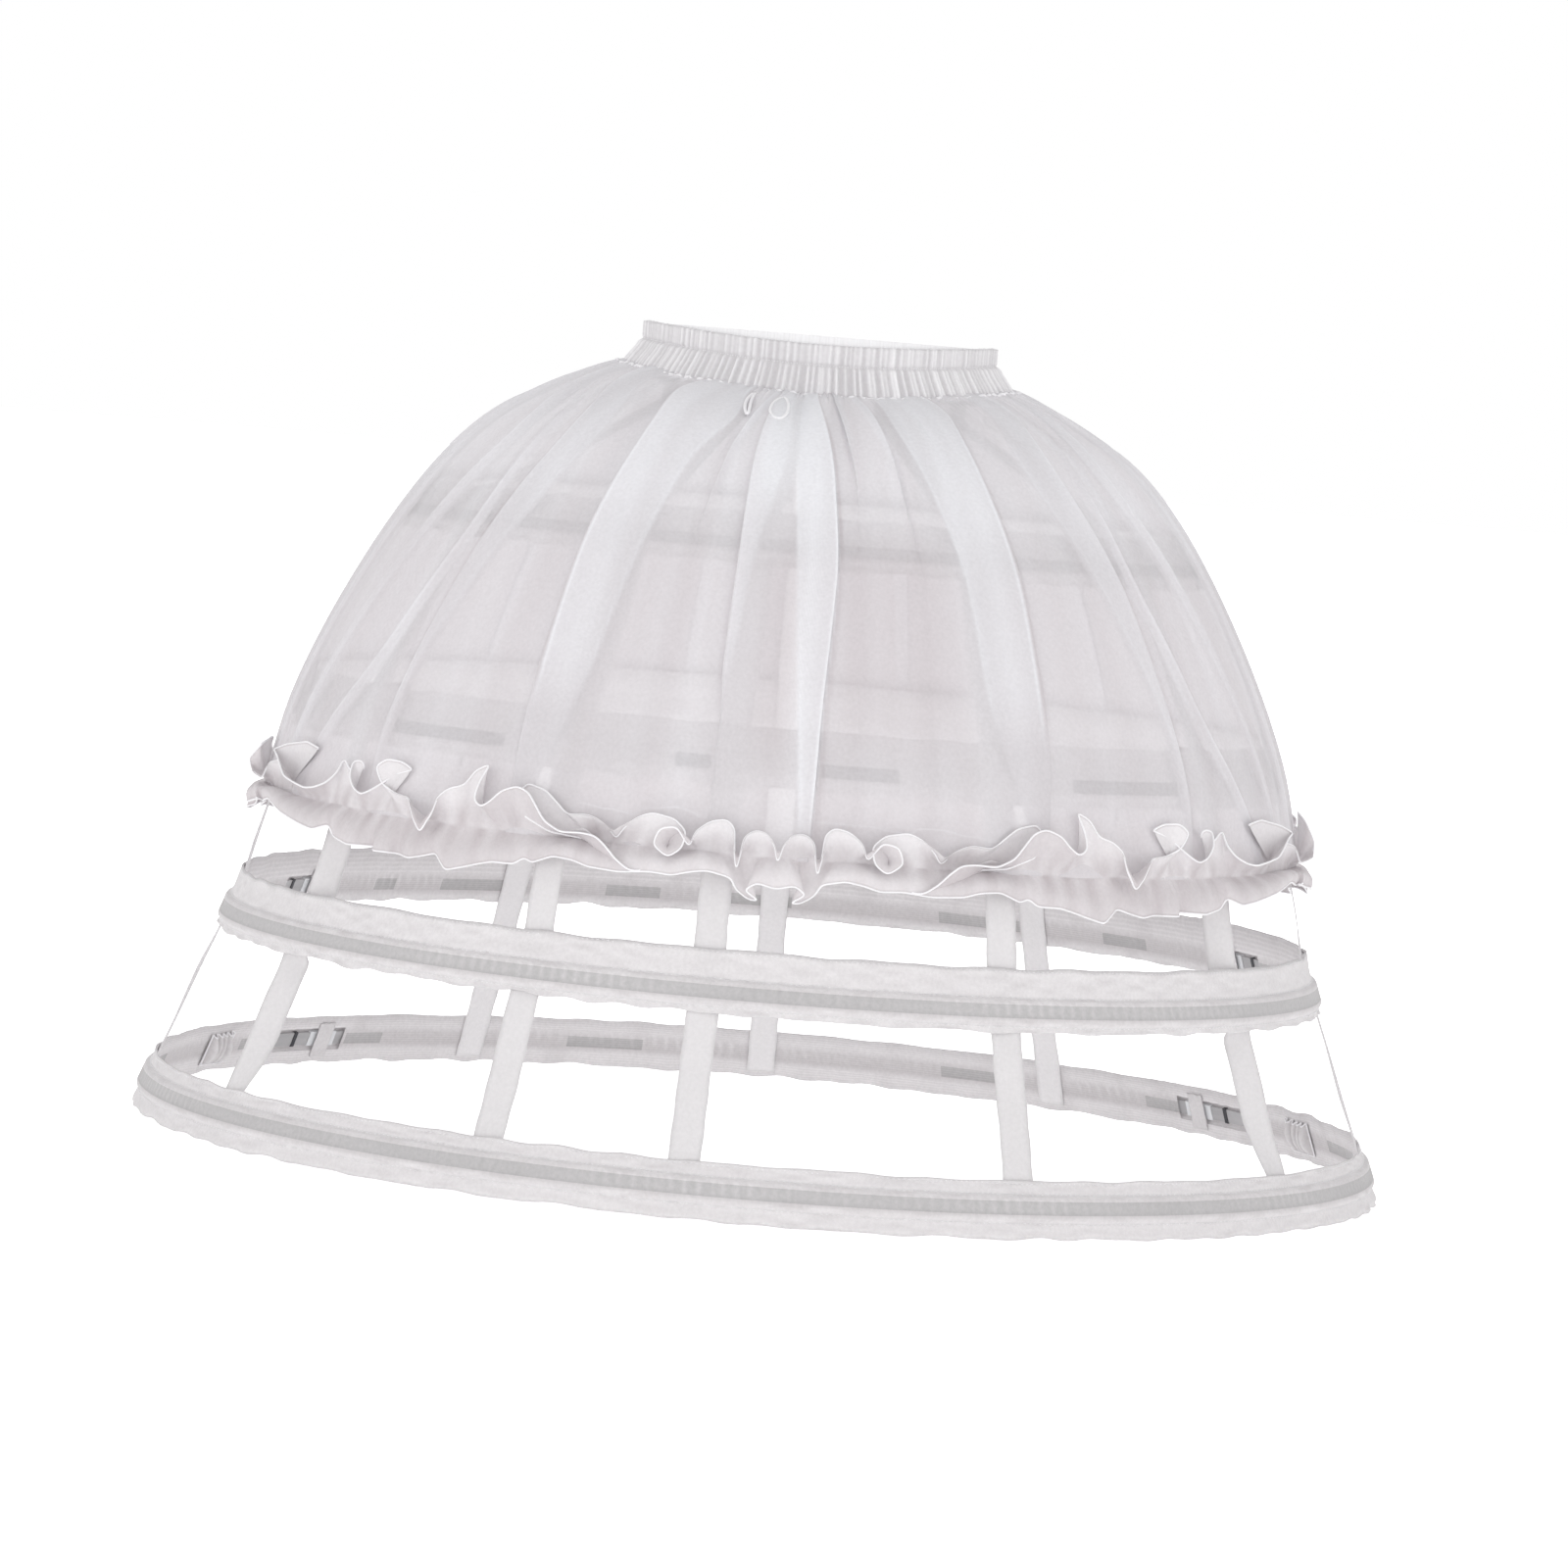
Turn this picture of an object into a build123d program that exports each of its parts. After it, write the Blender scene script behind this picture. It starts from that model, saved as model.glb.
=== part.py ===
from build123d import *
import os
from math import atan2, cos, degrees, hypot, radians, sin
from typing import NamedTuple

# Crinoline cage: flat hoop bones in stitched casings, hung on tapes from an elasticated
# waistband, under a sheer overskirt with a gathered frill.
#
# Millimetres. The origin is the centre of the waistline, +Z is up and -Y is the front.
# Heights are above (+) or below (-) the waistline, radii are from the vertical axis, and
# azimuths are degrees round from the front towards the wearer's left hand, which is +X.


class Hoop(NamedTuple):
    name: str
    radius: float  # to the middle of the bone
    drop: float  # of the bone's middle below the waistline
    above: float  # casing above the bone's middle, along the cloth
    below: float  # casing below the bone's middle, along the cloth
    joint: float  # azimuth where the two bones of the hoop meet, on either side
    mouth: float  # length of open casing on the front side of each joint


HOOPS = [
    Hoop("top", radius=261.0, drop=116.0, above=26.0, below=13.0, joint=122.0, mouth=40.0),
    Hoop("upper", radius=327.0, drop=250.0, above=26.0, below=13.0, joint=120.0, mouth=40.0),
    Hoop("lower", radius=365.0, drop=388.0, above=28.0, below=13.0, joint=118.0, mouth=40.0),
    Hoop("hem", radius=410.0, drop=504.0, above=18.0, below=19.0, joint=130.0, mouth=76.0),
]

# Cloth and seams
CLOTH = 0.8  # one layer of the waistband's cloth
SEAM_GAP = 0.3  # between stitched layers

# Waistband: a strip folded over at the top, open at the bottom for the skirt and tapes
WAIST_RADIUS = 112.0  # body side
WAISTBAND_ABOVE = 20.0
WAISTBAND_BELOW = 18.0
ELASTIC_WIDTH = 24.0
ELASTIC_THICKNESS = 1.6
TUCK = 9.0  # how far the tapes and the skirt run up inside the waistband

# Vertical tapes
TAPE_WIDTH = 20.0
TAPE_THICKNESS = 0.8
TAPE_BEND = 10.0  # radius where a tape turns over a casing's edge
TAPE_END_MARGIN = 5.0  # from the tape's end up from the bottom edge of the hem casing
TAPES = {
    "front_centre": -6.0,
    "front_left": -24.0,
    "front_right": 24.0,
    "front_side_left": -56.0,
    "front_side_right": 56.0,
    "side_left": -90.0,
    "side_right": 90.0,
    "back_left": -149.0,
    "back_right": 149.0,
    "back_centre": 180.0,
}

# Hoop bones and their casings
BONE_WIDTH = 10.0
BONE_THICKNESS = 1.2
BONE_END_GAP = 1.0
BACKING_THICKNESS = 1.2  # the flat band that the channel is stitched to
CHANNEL_WALL = 0.6
CHANNEL_CLEARANCE = 0.2  # round the connector, the thickest thing that is threaded through
CHANNEL_SEAM = 2.4  # sloped edge of the channel, down to its stitching
CASING_PULL = 0.3  # share of the turn between its tape runs that a casing leans back by

# Connector sleeve over the two bone ends, and the crimp on the front bone beside it
SLEEVE_WALL = 0.5
SLEEVE_CLEARANCE = 0.1
SLEEVE_LENGTH = 26.0
CRIMP_LENGTH = 3.4
CRIMP_SPACING = 28.0  # from the joint to the crimp's middle
MOUTH_BACK = 20.0  # length of open casing on the back side of each joint

# Retaining tab stitched over the casing mouth at the joint, on the two open hoops
TABBED_HOOPS = ("lower", "hem")
TAB_LENGTH = 15.0
TAB_WIDTH = 27.0
TAB_THICKNESS = 0.7

# Ruched cloth loop on the inside of the hem hoop, in front of each casing mouth
RUCHE_AZIMUTH = 112.0
RUCHE_LENGTH = 30.0
RUCHE_WIDTH = 22.0
RUCHE_THICKNESS = 5.0

# Overskirt
SKIRT_THICKNESS = 1.2
SKIRT_GAP = 0.5  # over the channels of the hoops that it hides
SHOULDER_INSET = 82.0  # of the shoulder from where the overskirt crosses the top hoop
SHOULDER_RISE = 84.0  # of the shoulder above that crossing
SHOULDER_LEAN = 60.0  # degrees that the shoulder's face tips up from facing straight out
SKIRT_HEM_DROP = 306.0
SKIRT_HEM_FLARE = 11.0  # of the hem outside the upper hoop's channel

# Frill, stitched round the overskirt's hem
FRILL_HEADER = 30.0  # above its stitching
FRILL_FALL = 37.0  # below its stitching
FRILL_STITCH_RISE = 4.0  # of its stitching above the overskirt's hem
FRILL_DEPTH = 20.0
FRILL_ROUNDING = 9.0

# Sizes that follow
connector_half_thickness = BONE_THICKNESS / 2 + SLEEVE_CLEARANCE + SLEEVE_WALL
connector_half_width = BONE_WIDTH / 2 + SLEEVE_CLEARANCE + SLEEVE_WALL
channel_half_thickness = connector_half_thickness + CHANNEL_CLEARANCE
channel_half_width = connector_half_width + CHANNEL_CLEARANCE
backing_face = channel_half_thickness + CHANNEL_WALL  # inwards from the bone's middle
channel_face = channel_half_thickness + CHANNEL_WALL  # outwards from the bone's middle
channel_crest = channel_half_width + CHANNEL_WALL

tape_inner_radius = WAIST_RADIUS + CLOTH + SEAM_GAP
tape_outer_radius = tape_inner_radius + TAPE_THICKNESS
skirt_tuck_radius = hypot(tape_outer_radius, TAPE_WIDTH / 2) + SEAM_GAP
pocket_radius = skirt_tuck_radius + SKIRT_THICKNESS + SEAM_GAP
waistband_radius = pocket_radius + CLOTH
tuck_top = TUCK - WAISTBAND_BELOW
skirt_seam_height = -WAISTBAND_BELOW - SEAM_GAP - SKIRT_THICKNESS


def radial_plane(azimuth):
    """Upright plane through the vertical axis: x is the radius and y is the height."""
    a = radians(azimuth)
    return Plane(origin=(0, 0, 0), x_dir=(sin(a), -cos(a), 0), z_dir=(-cos(a), -sin(a), 0))


def slant(index):
    """Degrees that a hoop's casing leans from upright, between the tape runs that it joins."""
    line = [(tape_outer_radius, WAISTBAND_BELOW)] + [(hoop.radius, hoop.drop) for hoop in HOOPS]
    runs = [
        degrees(atan2(low[0] - high[0], low[1] - high[1]))
        for high, low in zip(line[:-1], line[1:])
    ]
    run_above, run_below = runs[index], runs[min(index + 1, len(runs) - 1)]
    return run_below + CASING_PULL * (run_above - run_below)


def on_hoop(index, out, up):
    """Radius and height of a point that lies out and up, along the cloth, from a bone."""
    hoop, lean = HOOPS[index], radians(slant(index))
    return (
        hoop.radius + out * cos(lean) - up * sin(lean),
        -hoop.drop + out * sin(lean) + up * cos(lean),
    )


def hoop_plane(index, azimuth):
    """Plane across a hoop at its bone's middle: x points out of the cloth and y up along it."""
    a, lean = radians(azimuth), radians(slant(index))
    radius, height = on_hoop(index, 0, 0)
    return Plane(
        origin=(radius * sin(a), -radius * cos(a), height),
        x_dir=(sin(a) * cos(lean), -cos(a) * cos(lean), sin(lean)),
        z_dir=(-cos(a), -sin(a), 0),
    )


def arc_of(index, length):
    """Degrees that a length takes up along a hoop."""
    return degrees(length / HOOPS[index].radius)


def box_section(x_low, x_high, y_low, y_high, mode=Mode.ADD):
    """Rectangle between its four sides, inside a sketch."""
    with Locations(((x_low + x_high) / 2, (y_low + y_high) / 2)):
        Rectangle(x_high - x_low, y_high - y_low, mode=mode)


def save(piece, name):
    piece.part.label = name
    export_step(piece.part, f"parts/{name}.step")


def make_waistband():
    with BuildPart() as casing:
        with BuildSketch(radial_plane(0)):
            box_section(WAIST_RADIUS, waistband_radius, -WAISTBAND_BELOW, WAISTBAND_ABOVE)
            box_section(
                WAIST_RADIUS + CLOTH,
                pocket_radius,
                -WAISTBAND_BELOW,
                WAISTBAND_ABOVE - CLOTH,
                mode=Mode.SUBTRACT,
            )
        revolve(axis=Axis.Z)
    save(casing, "waistband_casing")

    elastic_top = WAISTBAND_ABOVE - CLOTH - SEAM_GAP
    with BuildPart() as elastic:
        with BuildSketch(radial_plane(0)):
            box_section(
                tape_inner_radius,
                tape_inner_radius + ELASTIC_THICKNESS,
                elastic_top - ELASTIC_WIDTH,
                elastic_top,
            )
        revolve(axis=Axis.Z)
    save(elastic, "waist_elastic")


def casing_section(index, channel_low):
    """Cut through a casing, whose channel reaches in from its outer wall to channel_low."""
    hoop = HOOPS[index]
    web_face = BACKING_THICKNESS - backing_face
    foot = channel_crest + CHANNEL_SEAM
    box_section(-backing_face, web_face, -hoop.below, hoop.above)
    Polygon(
        (-backing_face, -foot),
        (web_face, -foot),
        (channel_face, -channel_crest),
        (channel_face, channel_crest),
        (web_face, foot),
        (-backing_face, foot),
        align=None,
    )
    box_section(
        channel_low,
        channel_half_thickness,
        -channel_half_width,
        channel_half_width,
        mode=Mode.SUBTRACT,
    )


def make_casing(index):
    """Flat band with a raised channel on its outside, open on the inside at the bone joints."""
    hoop = HOOPS[index]
    mouth_start = hoop.joint - arc_of(index, hoop.mouth)
    mouth_end = hoop.joint + arc_of(index, MOUTH_BACK)
    closed, opened = -channel_half_thickness, -backing_face - CLOTH
    spans = [
        (-mouth_start, mouth_start, closed),
        (mouth_start, mouth_end, opened),
        (mouth_end, 360 - mouth_end, closed),
        (-mouth_end, -mouth_start, opened),
    ]
    with BuildPart() as casing:
        for start, end, channel_low in spans:
            with BuildSketch(hoop_plane(index, start)):
                casing_section(index, channel_low)
            revolve(axis=Axis.Z, revolution_arc=end - start)
    save(casing, f"{hoop.name}_hoop_casing")


def make_bones(index):
    """Front and back strip of one hoop, end to end inside their casing."""
    hoop = HOOPS[index]
    gap = arc_of(index, BONE_END_GAP) / 2
    spans = {"front": (-hoop.joint, hoop.joint), "back": (hoop.joint, 360 - hoop.joint)}
    for side, (start, end) in spans.items():
        with BuildPart() as bone:
            with BuildSketch(hoop_plane(index, start + gap)):
                Rectangle(BONE_THICKNESS, BONE_WIDTH)
            revolve(axis=Axis.Z, revolution_arc=end - start - 2 * gap)
        save(bone, f"{hoop.name}_hoop_{side}_bone")


def make_sleeve(index, start, length, name):
    """Rectangular tube that slides on the bone."""
    with BuildPart() as sleeve:
        with BuildSketch(hoop_plane(index, start)):
            Rectangle(2 * connector_half_thickness, 2 * connector_half_width)
            Rectangle(
                BONE_THICKNESS + 2 * SLEEVE_CLEARANCE,
                BONE_WIDTH + 2 * SLEEVE_CLEARANCE,
                mode=Mode.SUBTRACT,
            )
        revolve(axis=Axis.Z, revolution_arc=arc_of(index, length))
    save(sleeve, name)


def make_inner_strip(index, start, length, width, thickness, name):
    """Piece that lies on the casing's inner face."""
    face = -backing_face - SEAM_GAP
    with BuildPart() as strip:
        with BuildSketch(hoop_plane(index, start)):
            box_section(face - thickness, face, -width / 2, width / 2)
        revolve(axis=Axis.Z, revolution_arc=arc_of(index, length))
    save(strip, name)


def make_joint_pieces(index):
    """Connector sleeve, crimp and trim at both joints of one hoop."""
    hoop = HOOPS[index]
    for side, sign in {"left": -1, "right": 1}.items():

        def start_of(azimuth, length):
            return sign * azimuth - arc_of(index, length) / 2

        crimp_azimuth = hoop.joint - arc_of(index, CRIMP_SPACING)
        prefix = f"{hoop.name}_hoop_{side}"
        sleeve_start = start_of(hoop.joint, SLEEVE_LENGTH)
        crimp_start = start_of(crimp_azimuth, CRIMP_LENGTH)
        make_sleeve(index, sleeve_start, SLEEVE_LENGTH, f"{prefix}_connector")
        make_sleeve(index, crimp_start, CRIMP_LENGTH, f"{prefix}_crimp")
        if hoop.name in TABBED_HOOPS:
            tab_start = start_of(hoop.joint, TAB_LENGTH)
            make_inner_strip(index, tab_start, TAB_LENGTH, TAB_WIDTH, TAB_THICKNESS, f"{prefix}_tab")
        if hoop.name == "hem":
            ruche_start = start_of(RUCHE_AZIMUTH, RUCHE_LENGTH)
            make_inner_strip(
                index, ruche_start, RUCHE_LENGTH, RUCHE_WIDTH, RUCHE_THICKNESS, f"{prefix}_ruche"
            )


def tape_line():
    """Radius and height along a tape's outer face, from the waistband to the hem."""
    points = [(tape_outer_radius, tuck_top), (tape_outer_radius, skirt_seam_height - TAPE_BEND)]
    for index, hoop in enumerate(HOOPS):
        # A flat tape inside a round casing touches it with its edges first.
        inset = SEAM_GAP + TAPE_WIDTH**2 / (8 * on_hoop(index, 0, hoop.above)[0])
        last = index == len(HOOPS) - 1
        below = hoop.below - TAPE_END_MARGIN if last else hoop.below
        points.append(on_hoop(index, -backing_face - inset, hoop.above))
        points.append(on_hoop(index, -backing_face - inset, -below))
    return points


def make_tape(name, azimuth):
    with BuildPart() as tape:
        with BuildSketch(radial_plane(azimuth)):
            with BuildLine():
                FilletPolyline(*tape_line(), radius=TAPE_BEND)
                offset(amount=TAPE_THICKNESS, side=Side.RIGHT)
            make_face()
        extrude(amount=TAPE_WIDTH / 2, both=True)
    save(tape, f"{name}_tape")


def over_hoop(index, out):
    """Radius and height where the overskirt, at out from its inner face, crosses a channel."""
    return on_hoop(index, channel_face + SKIRT_GAP + out, -channel_crest)


def hem_lean():
    """Radians that the overskirt leans from upright where it leaves the upper hoop."""
    return atan2(SKIRT_HEM_FLARE, SKIRT_HEM_DROP + over_hoop(1, 0)[1])


def skirt_line(out):
    """Radius and height of points down the overskirt, out from its inner face."""
    turn, hem = radians(SHOULDER_LEAN), hem_lean()
    over_top, over_upper = over_hoop(0, 0), over_hoop(1, 0)
    return [
        (skirt_tuck_radius + out, skirt_seam_height + out),
        (
            over_top[0] - SHOULDER_INSET + out * cos(turn),
            over_top[1] + SHOULDER_RISE + out * sin(turn),
        ),
        over_hoop(0, out),
        over_hoop(1, out),
        (over_upper[0] + SKIRT_HEM_FLARE + out * cos(hem), -SKIRT_HEM_DROP + out * sin(hem)),
    ]


def make_overskirt():
    """Sheer shell from inside the waistband, over the two hidden hoops, to the frill."""
    inner, outer = skirt_line(0), skirt_line(SKIRT_THICKNESS)
    top = [(points[0][0], tuck_top) for points in (inner, outer)]
    tangents = ((1, -0.1), (sin(hem_lean()), -cos(hem_lean())))
    with BuildPart() as skirt:
        with BuildSketch(radial_plane(0)):
            with BuildLine():
                Polyline(inner[0], top[0], top[1], outer[0])
                Spline(*inner, tangents=tangents)
                Spline(*outer, tangents=tangents)
                Line(inner[-1], outer[-1])
            make_face()
        revolve(axis=Axis.Z)
    save(skirt, "overskirt")


def make_frill():
    """Ring that holds the frill's folds, with its stitching line on the overskirt."""
    hem, lean = skirt_line(0)[-1], hem_lean()
    radius = hem[0] - FRILL_STITCH_RISE * sin(lean)
    seam_plane = Plane(
        origin=(0, -radius, hem[1] + FRILL_STITCH_RISE * cos(lean)),
        x_dir=(0, -cos(lean), sin(lean)),
        z_dir=(-1, 0, 0),
    )
    inner = SKIRT_THICKNESS + SEAM_GAP
    with BuildPart() as frill:
        with BuildSketch(seam_plane) as section:
            box_section(inner, inner + FRILL_DEPTH, -FRILL_FALL, FRILL_HEADER)
            fillet(section.vertices(), FRILL_ROUNDING)
        revolve(axis=Axis.Z)
    save(frill, "hem_frill")


os.makedirs("parts", exist_ok=True)
make_waistband()
for index in range(len(HOOPS)):
    make_casing(index)
    make_bones(index)
    make_joint_pieces(index)
for name, azimuth in TAPES.items():
    make_tape(name, azimuth)
make_overskirt()
make_frill()
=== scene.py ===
from math import asin, atan2, cos, degrees, pi, radians, sin, tau

import bpy
import numpy as np
from mathutils import Matrix, Vector
from mathutils.bvhtree import BVHTree


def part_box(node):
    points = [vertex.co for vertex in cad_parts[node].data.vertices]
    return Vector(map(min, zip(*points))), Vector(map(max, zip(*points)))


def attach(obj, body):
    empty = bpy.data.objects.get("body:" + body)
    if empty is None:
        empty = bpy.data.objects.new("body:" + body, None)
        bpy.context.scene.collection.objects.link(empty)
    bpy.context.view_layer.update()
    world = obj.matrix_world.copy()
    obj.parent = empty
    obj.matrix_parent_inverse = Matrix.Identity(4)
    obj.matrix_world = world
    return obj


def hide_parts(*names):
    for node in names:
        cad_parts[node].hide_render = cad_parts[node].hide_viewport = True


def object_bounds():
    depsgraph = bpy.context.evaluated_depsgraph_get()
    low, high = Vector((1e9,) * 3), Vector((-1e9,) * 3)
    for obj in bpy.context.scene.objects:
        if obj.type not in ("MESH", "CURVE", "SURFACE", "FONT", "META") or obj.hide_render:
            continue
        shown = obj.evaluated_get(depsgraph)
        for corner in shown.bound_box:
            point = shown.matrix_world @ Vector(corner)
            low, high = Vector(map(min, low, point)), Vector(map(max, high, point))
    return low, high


# Crinoline cage: the cloth, the frill, the tapes and every finish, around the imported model.
#
# Metres. The origin is the centre of the waistline, +Z is up and -Y is the front. Azimuths are
# measured round from the front towards +X. Grids of points are [row, column], with rows running
# down the cloth and columns running round it.

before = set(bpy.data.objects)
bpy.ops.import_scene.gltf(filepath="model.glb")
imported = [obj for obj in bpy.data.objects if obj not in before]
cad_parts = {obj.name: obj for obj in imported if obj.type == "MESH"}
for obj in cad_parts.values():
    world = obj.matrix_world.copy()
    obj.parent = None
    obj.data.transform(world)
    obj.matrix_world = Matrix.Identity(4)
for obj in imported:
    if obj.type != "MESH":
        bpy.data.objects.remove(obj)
cad_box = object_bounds()

MM = 0.001
HOOPS = ("top", "upper", "lower", "hem")
JOINED_HOOPS = ("lower", "hem")  # the open ones, with a mouth, a tab and a bare strip on each side
SIDES = ("left", "right")
TAPES = (
    "front_centre", "front_left", "front_right", "front_side_left", "front_side_right", "side_left",
    "side_right", "back_left", "back_right", "back_centre"
)


# ---------------- reading the frame


def vertices_of(node):
    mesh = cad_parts[node].data
    flat = np.empty(3 * len(mesh.vertices), np.float32)
    mesh.vertices.foreach_get("co", flat)
    return flat.reshape(-1, 3).astype(float)


def section_of(node):
    """Radius and height of every vertex of a CAD node."""
    points = vertices_of(node)
    return np.hypot(points[:, 0], points[:, 1]), points[:, 2]


def azimuth_of(node):
    """Azimuth of the middle of a CAD node that lies on one side of the cage."""
    x, y, _ = vertices_of(node).mean(axis=0)
    return atan2(x, -y)


def outer_radius(node, heights):
    """Radius of a turned CAD node's outer surface at each height."""
    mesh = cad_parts[node].data
    faces = [tuple(face.vertices) for face in mesh.polygons]
    tree = BVHTree.FromPolygons([v.co for v in mesh.vertices], faces)
    start = 2 * cad_box[1][0]
    return np.array([tree.ray_cast(Vector((start, 0, z)), Vector((-1, 0, 0)))[0].x for z in heights])


class Hoop:
    """Where one hoop's bone and casing lie: radius, height, lean and the casing's own extents."""

    def __init__(self, name):
        self.name = name
        radius, height = section_of(f"{name}_hoop_front_bone")
        self.radius = (radius.min() + radius.max()) / 2
        self.height = (height.min() + height.max()) / 2
        spread = np.cov(np.stack([radius - self.radius, height - self.height]))
        across, along = np.linalg.eigh(spread)[1][:, 1]
        self.lean = atan2(-across * np.sign(along), abs(along))
        out, up = self.local(*section_of(f"{name}_hoop_casing"))
        self.above, self.below = up.max(), -up.min()
        self.inner_face, self.outer_face = out.min(), out.max()
        self.joints = [azimuth_of(f"{name}_hoop_{side}_connector") for side in SIDES]

    def local(self, radius, height):
        """Out of the cloth and up along it, from the bone's middle."""
        r, z = radius - self.radius, height - self.height
        return r * cos(self.lean) + z * sin(self.lean), z * cos(self.lean) - r * sin(self.lean)

    def at(self, out, up):
        """Radius and height of a point out of the cloth and up along it from the bone's middle."""
        return (
            self.radius + out * cos(self.lean) - up * sin(self.lean),
            self.height + out * sin(self.lean) + up * cos(self.lean),
        )


# ---------------- making meshes


def around(azimuth, radius, height):
    """Points at an azimuth, a radius from the vertical axis and a height."""
    x, y, z = np.broadcast_arrays(radius * np.sin(azimuth), -radius * np.cos(azimuth), height)
    return np.stack([x, y, z], axis=-1)


def ease(value, low, high):
    """0 below low, 1 above high, and smooth between them."""
    t = np.clip((value - low) / (high - low), 0, 1)
    return t * t * (3 - 2 * t)


def hump(value, width):
    """1 at 0, and down to nothing in about two widths on both sides."""
    return np.exp(-((value / width) ** 2))


def beside(azimuth, middle):
    """How far an azimuth is round from another, from minus to plus half a turn."""
    return (azimuth - middle + pi) % tau - pi


def unit(vectors):
    return vectors / np.linalg.norm(vectors, axis=-1, keepdims=True)


def ripple(rng, azimuth, low, high, count=24):
    """Irregular wave round the cage, about 1 high, of waves that each go round low to high times."""
    turns = rng.integers(low, high + 1, count)
    phases = rng.uniform(0, tau, count)
    waves = np.sin(azimuth[..., None] * turns + phases)
    return waves.sum(axis=-1) / np.sqrt(count / 2)


def set_tone(piece, tone):
    """How much each point catches the light, from 0 in a crease to 1 on a ridge."""
    layer = piece.data.attributes.new("tone", "FLOAT", "POINT")
    layer.data.foreach_set("value", np.clip(tone, 0, 1).astype(np.float32).ravel())


def add_object(name, data):
    """New object in the scene."""
    piece = bpy.data.objects.new(name, data)
    bpy.context.scene.collection.objects.link(piece)
    return piece


def new_object(name, points, faces, loops_uv=None):
    mesh = bpy.data.meshes.new(name)
    mesh.vertices.add(len(points))
    mesh.vertices.foreach_set("co", np.ascontiguousarray(points, np.float32).ravel())
    sides = faces.shape[1]
    mesh.loops.add(faces.size)
    mesh.loops.foreach_set("vertex_index", faces.astype(np.int32).ravel())
    mesh.polygons.add(len(faces))
    mesh.polygons.foreach_set("loop_start", np.arange(0, faces.size, sides, dtype=np.int32))
    mesh.polygons.foreach_set("use_smooth", np.ones(len(faces), bool))
    if loops_uv is not None:
        layer = mesh.uv_layers.new(name="cloth")
        layer.data.foreach_set("uv", np.ascontiguousarray(loops_uv, np.float32).ravel())
    mesh.update(calc_edges=True)
    return add_object(name, mesh)


def grid_object(name, points, width, length, wrap=False, tube=False, keep=None):
    """Quads over a grid of points. Its UVs are metres along a cloth of that width and length."""
    rows, columns = points.shape[:2]
    across = columns if wrap else columns - 1
    down = rows if tube else rows - 1
    row, column = np.meshgrid(np.arange(down), np.arange(across), indexing="ij")
    if keep is not None:
        row, column = row[keep], column[keep]
    row, column = row.ravel(), column.ravel()
    after, below = (column + 1) % columns, (row + 1) % rows
    here, under = row * columns, below * columns
    faces = np.stack([here + column, under + column, under + after, here + after], axis=-1)
    u = np.stack([column, column, column + 1, column + 1], axis=-1) * (width / across)
    v = np.stack([row, row + 1, row + 1, row], axis=-1) * (length / down)
    return new_object(name, points.reshape(-1, 3), faces, np.stack([u, v], axis=-1))


def thread_object(name, paths, radius, sides=6):
    """Round threads of one radius along closed paths of points."""
    points, faces, start = [], [], 0
    for path in paths:
        along = unit(np.roll(path, -1, axis=0) - np.roll(path, 1, axis=0))
        side = unit(np.cross(along, unit(path * (1, 1, 0)) + (0, 0, 0.35)))
        other = np.cross(along, side)
        angle = np.arange(sides) * tau / sides
        ring = side[:, None] * np.cos(angle)[:, None] + other[:, None] * np.sin(angle)[:, None]
        ring = path[:, None] + radius * ring
        n = len(path)
        i, j = np.meshgrid(np.arange(n), np.arange(sides), indexing="ij")
        i2, j2 = (i + 1) % n, (j + 1) % sides
        quads = np.stack([i * sides + j, i * sides + j2, i2 * sides + j2, i2 * sides + j], axis=-1)
        points.append(ring.reshape(-1, 3))
        faces.append(start + quads.reshape(-1, 4))
        start += n * sides
    return new_object(name, np.concatenate(points), np.concatenate(faces))


def stitch_object(name, starts, ends, outward, thickness):
    """Sewing stitches, each a short thread that dips into the cloth at both ends."""
    side = np.cross(outward, unit(ends - starts))
    middle = (starts + ends) / 2 + outward * thickness * 0.35
    half = thickness / 2
    front = [middle + side * half, middle + outward * half]
    back = [middle - side * half, middle - outward * half]
    corners = [starts - outward * half, *front, *back, ends - outward * half]
    corners = np.stack(corners, axis=1)
    triangles = np.array(
        [(0, 1, 2), (0, 2, 3), (0, 3, 4), (0, 4, 1), (5, 2, 1), (5, 3, 2), (5, 4, 3), (5, 1, 4)]
    )
    faces = np.arange(len(starts))[:, None, None] * 6 + triangles
    return new_object(name, corners.reshape(-1, 3), faces.reshape(-1, 3))


def finish_cloth(piece, material, nodes):
    """Give a sheet of cloth its material, if it has one, hang it on the root and hide the CAD
    nodes that it replaces.
    """
    if material:
        piece.data.materials.append(material)
    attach(piece, "root")
    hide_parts(*nodes)


def thicken(piece, thickness, offset=-1):
    """Give a sheet its thickness, on its inner side or, with offset 0, on both sides."""
    solid = piece.modifiers.new("thickness", "SOLIDIFY")
    solid.thickness = thickness
    solid.offset = offset


def finish_trim(piece, material):
    """Give stitches or a thread edge their material and hang them on the root."""
    piece.data.materials.append(material)
    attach(piece, "root")


# ---------------- materials


def new_material(name, **sockets):
    material = bpy.data.materials.new(name)
    material.use_nodes = True
    shader = material.node_tree.nodes["Principled BSDF"]
    for socket, value in sockets.items():
        shader.inputs[socket.replace("_", " ")].default_value = value
    return material, shader


def add(material, kind, inputs=(), **settings):
    """New node, with its settings, its inputs' values and the links into it."""
    node = material.node_tree.nodes.new(kind)
    for key, value in settings.items():
        setattr(node, key, value)
    for socket, value in dict(inputs).items():
        if isinstance(value, bpy.types.NodeSocket):
            material.node_tree.links.new(value, node.inputs[socket])
        else:
            node.inputs[socket].default_value = value
    return node


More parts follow.
